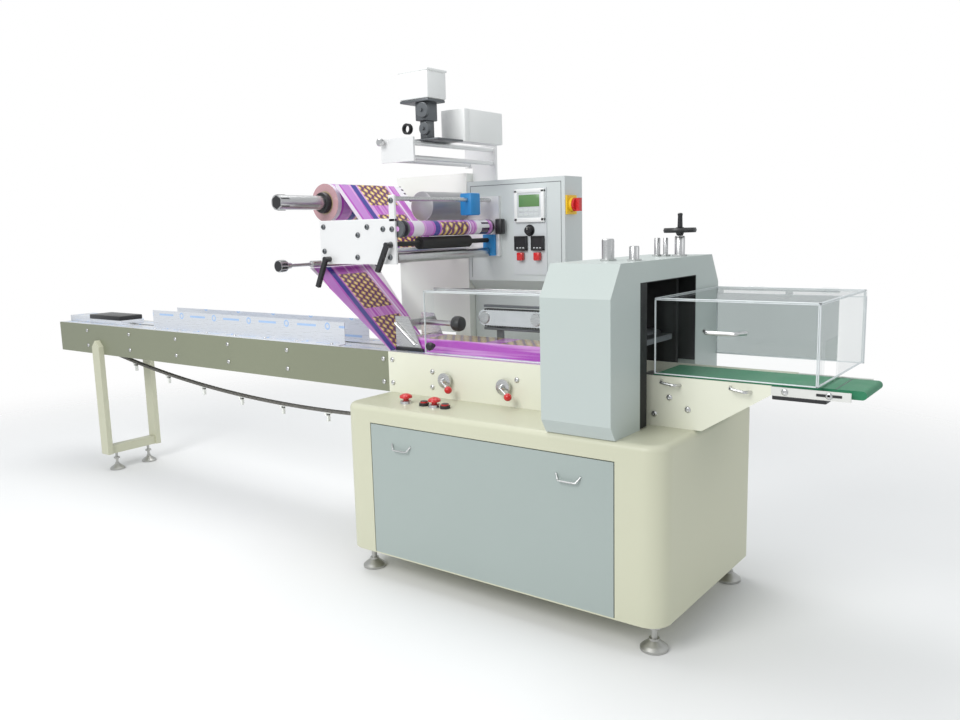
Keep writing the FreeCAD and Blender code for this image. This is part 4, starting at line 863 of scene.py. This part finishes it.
# %% dial and door seam
dial = turned([(0, 0.0), (0, 0.020), (-0.002, 0.020), (-0.002, 0.0145), (-0.016, 0.0135),
               (-0.018, 0.011), (-0.018, 0)], "Y", (0.695, fascia, 1.111), 24)
mark = slab((0.6942, fascia - 0.0188, 1.113), (0.6958, fascia - 0.0165, 1.123), 0.0003, 2)
piece("speed_dial", dial, BLACK, "machine")
piece("dial_mark", mark, WHITE, "machine")
box_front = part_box("control_box")[0].y
seam = [slab((x0, box_front - 0.0006, z0), (x1, box_front + 0.001, z1), 0.0003, 2)
        for x0, x1, z0, z1 in ((0.436, 0.822, 1.272, 1.274), (0.436, 0.438, 0.945, 1.274),
                               (0.820, 0.822, 0.945, 1.274))]
piece("box_door_seam", join(*seam), DARK, "machine", False)

# %% [markdown]
# ## Desk buttons
# Red mushrooms stop the machine and black buttons start it. Each is a turned profile, and the top of
# a mushroom is a quarter of an ellipse.

# %% desk buttons
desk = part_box("desk_buttons")[0].z
row = -0.238
black = [turned([(0, 0), (0, 0.0165), (0.0095, 0.0160), (0.0098, 0.012), (0.015, 0.0115),
                 (0.016, 0.009), (0.016, 0)], "Z", (x, row, desk), 28) for x in (0.614, 0.700)]
piece("black_buttons", join(*black), BLACK, "machine")
collar = [turned([(0, 0.0), (0, 0.020), (0.008, 0.0185), (0.010, 0.0155), (0.010, 0)],
                 "Z", (x, row, desk), 28) for x in (0.538, 0.657)]
piece("button_collars", join(*collar), STEEL, "machine")
angle = np.linspace(0, np.pi / 2, 8)
curve = [(0.0195 + 0.0125 * math.sin(a), 0.0207 * math.cos(a)) for a in angle[:-1]]
dome = [(0.018, 0.0)] + curve + [(0.032, 0.0)]
caps = [turned(dome, "Z", (x, row, desk), 32) for x in (0.538, 0.657)]
piece("mushroom_caps", join(*caps), RED, "machine")

# %% [markdown]
# ## Hand wheels on the bed
# A steel disc carries a lever with a red ball, and the lever and ball turn with it. The ball is half a
# circle swept round.

# %% hand wheels
for name, x in (("left", 0.613), ("right", 0.847)):
    nodes[f"{name}_hand_wheel"].data.materials.clear()
    nodes[f"{name}_hand_wheel"].data.materials.append(STEEL)
    centre = np.array([x, -0.150, 0.635])
    end = centre + (0.034, -0.006, -0.024)
    lever = tube(np.linspace(centre, end, 6), 0.0035, 10)
    turn = np.linspace(-np.pi / 2, np.pi / 2, 14)
    ball = turned(np.stack([0.0125 * np.sin(turn), 0.0125 * np.cos(turn)], -1), "Y", end, 24)
    piece(f"{name}_wheel_lever", lever, STEEL, f"{name}_wheel")
    piece(f"{name}_wheel_ball", ball, RED, f"{name}_wheel")

# %% [markdown]
# ## Handles
# A bow handle leaves the face, runs beside it and comes back. A clipped sine gives that path: it rises
# at once, stays level and falls at once.

# %% handles
def bow(start, end, out, count=15):
    """A handle's path: the straight line between its feet plus a clipped half sine outward."""
    t = np.linspace(0, 1, count)[:, None]
    bulge = np.clip(np.sin(np.pi * t) * 2.2, 0, 1)
    return np.asarray(start) * (1 - t) + np.asarray(end) * t + bulge * np.asarray(out)


grips = [tube(bow((x, side * 0.3355, 0.4615), (x + 0.077, side * 0.3355, 0.4615),
                  (0, side * 0.0105, -0.017)), 0.0026, 10) for x in (0.560, 1.163) for side in (-1, 1)]
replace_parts(piece("cabinet_grips", join(*grips), STEEL, "machine"), "panel_grips")
hooks = [tube(bow((x, plate, 0.700), (x + 0.054, plate, 0.692), (0, -0.024, 0)), 0.004, 10)
         for x in (1.369, 1.561)]
piece("bed_hooks", join(*hooks), STEEL, "machine")
cover_low, cover_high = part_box("exit_cover")
handle = tube(bow((1.489, cover_low.y, 0.842), (1.599, cover_low.y, 0.842), (0, -0.032, 0), 25), 0.0055, 12)
piece("exit_cover_handle", handle, STEEL, "exit_door")
fin_low, fin_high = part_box("fin_cover")
knob = turned([(0, 0.0), (0, 0.007), (-0.012, 0.007), (-0.014, 0.013), (-0.026, 0.014),
               (-0.030, 0.009), (-0.030, 0)], "Y", (0.560, fin_low.y, 0.745), 24)
piece("fin_cover_knob", knob, BLACK, "fin_door")

# %% [markdown]
# ## Edges of the clear covers
# A sawn edge of acrylic looks like a pale line. Thin strips along the sheet's rims give that line.

# %% clear edges
def rim_box(low, high, t=0.0022):
    """Strips along the twelve edges of a box."""
    strips = []
    for axis in range(3):
        others = [a for a in range(3) if a != axis]
        for u in (0, 1):
            for v in (0, 1):
                a, b = np.array(low, float), np.array(high, float)
                for other, pick in zip(others, (u, v)):
                    middle = (low, high)[pick][other] + (t / 2 if pick == 0 else -t / 2)
                    a[other], b[other] = middle - t * 0.6, middle + t * 0.6
                strips.append(slab(a, b, t * 0.3, 2))
    return strips


top, sheet = 0.925, 0.006
near_panel = rim_box((cover_low.x, cover_low.y, cover_low.z), (cover_high.x, cover_low.y + sheet, top))
roof = rim_box((cover_low.x, cover_low.y, top - sheet), (cover_high.x, 0.338, top))
end_panel = rim_box((cover_high.x - sheet, cover_low.y, cover_low.z), (cover_high.x, 0.338, top))
cover_rims = join(*near_panel, *roof, *end_panel)
piece("exit_cover_edges", cover_rims, EDGE, "exit_door", False)
fin_near = rim_box((fin_low.x, fin_low.y, fin_low.z), (fin_high.x, fin_low.y + sheet, top))
fin_roof = rim_box((fin_low.x, fin_low.y, top - sheet), (fin_high.x, fin_low.y + 0.070, top))
piece("fin_cover_edges", join(*fin_near, *fin_roof), EDGE, "fin_door", False)
back_low, back_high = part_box("exit_cover_back")
back_rims = join(*rim_box((back_low.x, 0.344, back_low.z), (back_high.x, 0.350, 0.904)))
piece("cover_back_edges", back_rims, EDGE, "machine", False)

# %% [markdown]
# ## The plate and the chuck
# The front plate of the film unit is one sheet with a narrow upright that carries the rods. It takes
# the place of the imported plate, whose upright is wider. A chuck holds the reel on its shaft.

# %% plate and chuck
plate_body = slab((0.203, -0.263, 1.018), (0.542, -0.253, 1.160), 0.0015, 2)
plate_strip = slab((0.518, -0.263, 1.150), (0.542, -0.253, 1.232), 0.0015, 2)
near_plate = piece("film_plate", join(plate_body, plate_strip), BRIGHT, "machine", False)
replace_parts(near_plate, "film_near_plate")
chuck = turned([(-0.186, 0.0245), (-0.186, 0.034), (-0.182, 0.036), (-0.170, 0.036), (-0.168, 0.0245),
                (-0.186, 0.0245)], "Y", (0.133, 0, 1.223), 36)
piece("reel_chuck", chuck, BLACK, "reel")

# %% [markdown]
# ## Sensor, block and drum
# A blue sensor reads the marks on the film, a blue block carries the lower roller, and a grey drum
# stands behind the web, fixed here. They are rounded boxes and a turned drum.

# %% sensor, block and drum
eye = slab((0.500, 0.120, 1.168), (0.548, 0.176, 1.244), 0.005)
piece("print_sensor", eye, BLUE, "machine")
bearing_block = slab((0.503, 0.2435, 1.024), (0.556, 0.2528, 1.100), 0.002)
piece("bearing_block", bearing_block, BLUE, "machine")
sleeve = turned([(0.040, 0.0), (0.0385, 0.046), (0.041, 0.0508), (0.252, 0.0508), (0.2525, 0.0)],
                "Y", (0.395, 0, 1.203), 48)
piece("drum_sleeve", sleeve, GREY, "machine")

# %% [markdown]
# ## Knobs and collars of the rollers
# A six-sided knob clamps the reel, a fluted one sets the guide roller, and dark collars close the
# turning roller's ends. The two knobs take their places from the boxes of the parts that carry them.

# %% knobs and collars
shaft_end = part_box("reel_shaft")[0].y
hexagon = turned([(shaft_end - 0.001, 0.0), (shaft_end - 0.001, 0.022), (shaft_end + 0.003, 0.0262),
                  (shaft_end + 0.036, 0.0262), (shaft_end + 0.036, 0.0)], "Y", (0.133, 0, 1.223), 6)
piece("reel_hex_knob", hexagon, BLACK, "reel", False)
guide_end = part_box("guide_roller")[0].y
guide_knob = turned([(guide_end - 0.001, 0.0), (guide_end - 0.001, 0.018), (guide_end + 0.003, 0.0208),
                     (guide_end + 0.026, 0.0208), (guide_end + 0.030, 0.0)], "Y", (0.052, 0, 1.012), 10)
piece("guide_knob", guide_knob, BLACK, "guide_roller_body")
roller_rings = [turned([(y, 0.0), (y, 0.0262), (y + 0.008, 0.0262), (y + 0.008, 0.0)],
                       "Y", (0.542, 0, 1.127), 36) for y in (-0.2280, -0.2515, 0.2190)]
piece("turning_roller_collars", join(*roller_rings), DARK, "turning_roller_body")
shoe = slab((0.572, 0.225, 1.100), (0.598, 0.252, 1.154), 0.004)
piece("drive_shoe", shoe, BLACK, "machine")

# %% [markdown]
# ## The coder's case
# The coder stamps the date on the film. A white case stands over the print head, and a bent white
# housing closes the back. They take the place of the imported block, which only keeps their room.

# %% coder case
case = slab((0.440, -0.108, 1.536), (0.562, -0.012, 1.622), 0.006)
lid = slab((0.437, -0.110, 1.620), (0.565, -0.010, 1.628), 0.003)
housing = slab((0.500, 0.030, 1.406), (0.600, 0.058, 1.513), 0.004)
back = slab((0.545, 0.056, 1.406), (0.600, 0.245, 1.513), 0.004)
head_block = piece("coder_case", join(case, lid, housing, back), CASE, "machine")
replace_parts(head_block, "coder_head")

# %% [markdown]
# ## The coder's works
# Below the case hang the neck, a tray, a carriage on the two beams, and the spools of the ribbon.

# %% coder works
neck = slab((0.492, -0.090, 1.470), (0.536, -0.030, 1.537), 0.003)
post = slab((0.500, -0.078, 1.4100), (0.530, -0.040, 1.4720), 0.003)
tray = slab((0.440, -0.104, 1.527), (0.558, -0.016, 1.5355), 0.002)
carriage = slab((0.478, -0.100, 1.4055), (0.592, 0.032, 1.4115), 0.002)
piece("coder_mechanism", join(neck, post, tray, carriage), DARK, "machine")
spools = [turned([(-0.094, 0.0), (-0.094, radius), (-0.106, radius), (-0.108, radius * 0.9), (-0.108, 0.006),
                  (-0.114, 0.005), (-0.114, 0.0)], "Y", (x, 0, z), 28)
          for x, z, radius in ((0.534, 1.500, 0.024), (0.540, 1.442, 0.020))]
piece("ribbon_spools", join(*spools), DARK, "machine")
reel_ring = turned([(-0.098, 0.017), (-0.098, 0.0175), (-0.112, 0.0175), (-0.112, 0.0125),
                    (-0.098, 0.0125)], "Y", (0.470, 0, 1.446), 28)
piece("ribbon_ring", reel_ring, BLACK, "machine")
coder_knob = turned([(-0.150, 0.0), (-0.150, 0.006), (-0.158, 0.006), (-0.160, 0.012),
                     (-0.172, 0.0125), (-0.176, 0.009), (-0.176, 0)], "Y", (0.405, 0, 1.405), 24)
piece("coder_knob", coder_knob, STEEL, "machine")

# %% [markdown]
# ## The former
# The film folds into a tube over the former. A black base carries it, a slotted bar sets its height
# and a steel rod with a black knob its width. Rod and knob are profiles turned about the same axis.

# %% former
slotted = tube(np.linspace((0.352, -0.074, 0.806), (0.440, -0.074, 0.734), 8), 0.006, 12)
piece("former_slot_bar", slotted, STEEL, "machine")
rod = turned([(0.411, 0.0), (0.411, 0.0095), (0.556, 0.0095), (0.556, 0.0)], "X", (0, 0, 0.806), 24)
piece("adjuster_rod", rod, STEEL, "machine")
knob = turned([(0.552, 0.0), (0.552, 0.016), (0.556, 0.022), (0.562, 0.0255), (0.578, 0.0262),
               (0.588, 0.023), (0.591, 0.014), (0.591, 0.0)], "X", (0, 0, 0.806), 36)
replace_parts(piece("adjuster_knob", knob, BLACK, "machine"), "former_adjuster")
base = slab((0.352, -0.076, 0.7125), (0.476, -0.0695, 0.724), 0.001)
piece("former_base", base, BLACK, "machine")

# %% [markdown]
# ## The dark mouth of the guard
# Inside the guard everything is dark. Near-black sheets along its inner faces and top, a flap on the infeed
# side and a strip beside the front column stand in for the shade in the mouth: they are painted shade.

# %% guard liners
guard_low, guard_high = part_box("guard_hood")
x0, x1 = guard_low.x + 0.001, guard_high.x - 0.001
# Near-black sheets inside the guard's faces and top, at its back and beside the front column: painted shade.
shade_sheets = [slab((x0, -0.1900, 0.714), (x1, -0.1880, 0.969), 0.0005, 2),
          slab((x0, 0.1780, 0.714), (x1, 0.1800, 0.969), 0.0005, 2),
          slab((x0, -0.1885, 0.9675), (x1, 0.1785, 0.9700), 0.0005, 2)]
back_shade = slab((1.1320, 0.1700, 0.714), (1.1360, 0.1795, 0.969), 0.0005, 2)
shade_strip = slab((1.3330, -0.1900, 0.5745), (1.3395, -0.1480, 0.9695), 0.0005, 2)
piece("guard_shade_sheets", join(*shade_sheets, back_shade, shade_strip), MOUTH_SHADE, "machine", False)
# A near-black flap on the infeed side: painted shade.
shade_flap = slab((x0 + 0.002, -0.187, 0.866), (x0 + 0.005, 0.177, 0.967), 0.001, 2)
piece("guard_shade_flap", shade_flap, MOUTH_SHADE, "machine", False)

# %% [markdown]
# ## The hold-down belt
# A short silver belt presses on the packs. It has small dark teeth, three wheels inside it and a dark
# guide above and below. One tooth is copied along both runs.

# %% hold-down belt
hold_low, hold_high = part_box("hold_down_belt")
cleat_x = np.arange(hold_low.x + 0.030, hold_high.x - 0.030, 0.010)
cleat = slab((-0.0028, hold_low.y - 0.0022, -0.0024), (0.0028, hold_high.y - 0.003, 0.0024), 0.0006, 2)
spots = [(x, 0, z) for x in cleat_x for z in (hold_low.z - 0.0008, hold_high.z + 0.0008)]
piece("belt_cleats", copies(cleat, spots), RUBBER, "machine", False)
strips = [slab((0.650, 0.042, z), (1.100, 0.060, z + 0.008), 0.001, 2) for z in (0.786, 0.862)]
piece("belt_guides", join(*strips), DARK, "machine", False)
near_y, middle_z = hold_low.y, (hold_low.z + hold_high.z) / 2
pulleys = [turned([(near_y - 0.004, 0.0), (near_y - 0.004, 0.019), (near_y - 0.001, 0.021),
                   (near_y + 0.002, 0.021), (near_y + 0.002, 0.0)], "Y", (x, 0, middle_z), 28)
           for x in (hold_low.x + 0.027, 0.860, hold_high.x - 0.027)]
piece("belt_pulleys", join(*pulleys), STEEL, "machine")

# %% [markdown]
# ## The discharge end
# The green belt is closed by a seam across it. Its white rails have a dark underside, a slot that sets
# the belt's tension and two screws on each side.

# %% discharge end
belt_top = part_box("discharge_belt")[1].z
seam = slab((1.812, -0.084, belt_top - 0.0004), (1.8145, 0.084, belt_top + 0.0006), 0.0002, 2)
piece("belt_seam", seam, DARK, "machine", False)
under = slab((1.668, -0.1150, 0.6775), (1.800, 0.1150, 0.6885), 0.002)
slots = [slab((1.776, side * 0.1166 - 0.0012, 0.6965), (1.836, side * 0.1166 + 0.0012, 0.7030), 0.0006, 2)
         for side in (-1, 1)]
piece("rail_underside", join(under, *slots), BLACK, "machine", False)
rail_heads = [copies(head("Y", side, 0.0085, 0.004), [(x, side * 0.1158, 0.6995) for x in (1.700, 1.806)])
              for side in (-1, 1)]
piece("rail_screws", join(*rail_heads), STEEL, "machine")

# %% [markdown]
# ## The floor
# A pale floor keeps the machine's shadow. Its shader fades to clear with the distance from the
# middle, so the floor has no edge against the white background.

# %% floor
fade_from, fade_to = 1.9, 4.2


def floor_material():
    """Plain grey near the middle, clear far from it."""
    material = bpy.data.materials.new("studio_floor")
    material.use_nodes = True
    tree = material.node_tree
    shader = tree.nodes["Principled BSDF"]
    shader.inputs["Base Color"].default_value = (0.80, 0.80, 0.80, 1)
    shader.inputs["Roughness"].default_value = 0.7
    place = tree.nodes.new("ShaderNodeTexCoord")
    far = tree.nodes.new("ShaderNodeVectorMath")
    far.operation = "LENGTH"
    tree.links.new(place.outputs["Object"], far.inputs[0])
    fade = tree.nodes.new("ShaderNodeMapRange")
    fade.interpolation_type = "SMOOTHSTEP"
    fade.inputs["From Min"].default_value = fade_from
    fade.inputs["From Max"].default_value = fade_to
    tree.links.new(far.outputs["Value"], fade.inputs["Value"])
    clear = tree.nodes.new("ShaderNodeBsdfTransparent")
    mix = tree.nodes.new("ShaderNodeMixShader")
    tree.links.new(fade.outputs["Result"], mix.inputs["Fac"])
    tree.links.new(shader.outputs[0], mix.inputs[1])
    tree.links.new(clear.outputs[0], mix.inputs[2])
    tree.links.new(mix.outputs[0], tree.nodes["Material Output"].inputs["Surface"])
    return material


mesh = bpy.data.meshes.new("studio_floor")
mesh.from_pydata([(-6, -6, -0.001), (6, -6, -0.001), (6, 6, -0.001), (-6, 6, -0.001)], [], [(0, 1, 2, 3)])
mesh.materials.append(floor_material())
floor = bpy.data.objects.new("studio_floor", mesh)
bpy.context.scene.collection.objects.link(floor)
print("floor:", floor.name, "fades from", fade_from, "to", fade_to, "m")

# %% [markdown]
# ## Light
# The camera sees a plain white world, while the machine is lit by a softer one, so the background is
# white and the colours stay as written. Three round lamps add shape: a key from the front, one
# overhead and a weak one at the discharge end.

# %% lights
world = bpy.data.worlds.new("studio")
bpy.context.scene.world = world
world.use_nodes = True
tree = world.node_tree
seen = tree.nodes["Background"]
seen.inputs["Color"].default_value = (1, 1, 1, 1)
seen.inputs["Strength"].default_value = 1.0
soft = tree.nodes.new("ShaderNodeBackground")
soft.inputs["Color"].default_value = (0.95, 0.98, 1.0, 1)
soft.inputs["Strength"].default_value = 0.72
path = tree.nodes.new("ShaderNodeLightPath")
mix = tree.nodes.new("ShaderNodeMixShader")
tree.links.new(path.outputs["Is Camera Ray"], mix.inputs["Fac"])
tree.links.new(soft.outputs[0], mix.inputs[1])
tree.links.new(seen.outputs[0], mix.inputs[2])
tree.links.new(mix.outputs[0], tree.nodes["World Output"].inputs["Surface"])


def lamp(name, place, target, size, power):
    """A round lamp at a place, turned to look at a target."""
    data = bpy.data.lights.new(name, "AREA")
    data.shape = "DISK"
    data.size = size
    data.energy = power
    item = bpy.data.objects.new(name, data)
    bpy.context.scene.collection.objects.link(item)
    item.location = place
    item.rotation_euler = (Vector(target) - Vector(place)).to_track_quat("-Z", "Y").to_euler()


lamp("key", (0.4, -3.8, 3.2), (0.2, 0, 0.7), 2.4, 105)
lamp("top", (-0.5, 0.4, 4.2), (0, 0, 0.6), 3.0, 80)
lamp("side", (4.6, 0.4, 2.2), (0.8, 0, 0.7), 2.0, 8)
print("lamps:", len(bpy.data.lights))

# %% [markdown]
# ## Camera
# The camera stands front right of the machine, a little above its belt. Yaw, pitch and roll give three
# square directions, which fill the rows of its matrix.

# %% camera
yaw, pitch, roll = math.radians(37.06), math.radians(8.88), math.radians(-1.47)
look = Vector((-math.sin(yaw) * math.cos(pitch), math.cos(yaw) * math.cos(pitch), -math.sin(pitch)))
level = Vector((math.cos(yaw), math.sin(yaw), 0))
upward = level.cross(look)
side = level * math.cos(roll) + upward * math.sin(roll)
over = upward * math.cos(roll) - level * math.sin(roll)
data = bpy.data.cameras.new("camera")
data.lens = 31.77
data.sensor_width = 36
camera = bpy.data.objects.new("camera", data)
bpy.context.scene.collection.objects.link(camera)
camera.matrix_world = Matrix(((side.x, over.x, -look.x, 2.3456), (side.y, over.y, -look.y, -2.2309),
                              (side.z, over.z, -look.z, 1.125), (0, 0, 0, 1)))
bpy.context.scene.camera = camera
bpy.context.scene.view_settings.view_transform = "Standard"
print("camera looks along", tuple(round(v, 3) for v in look), "with a lens of", round(data.lens, 2), "mm")
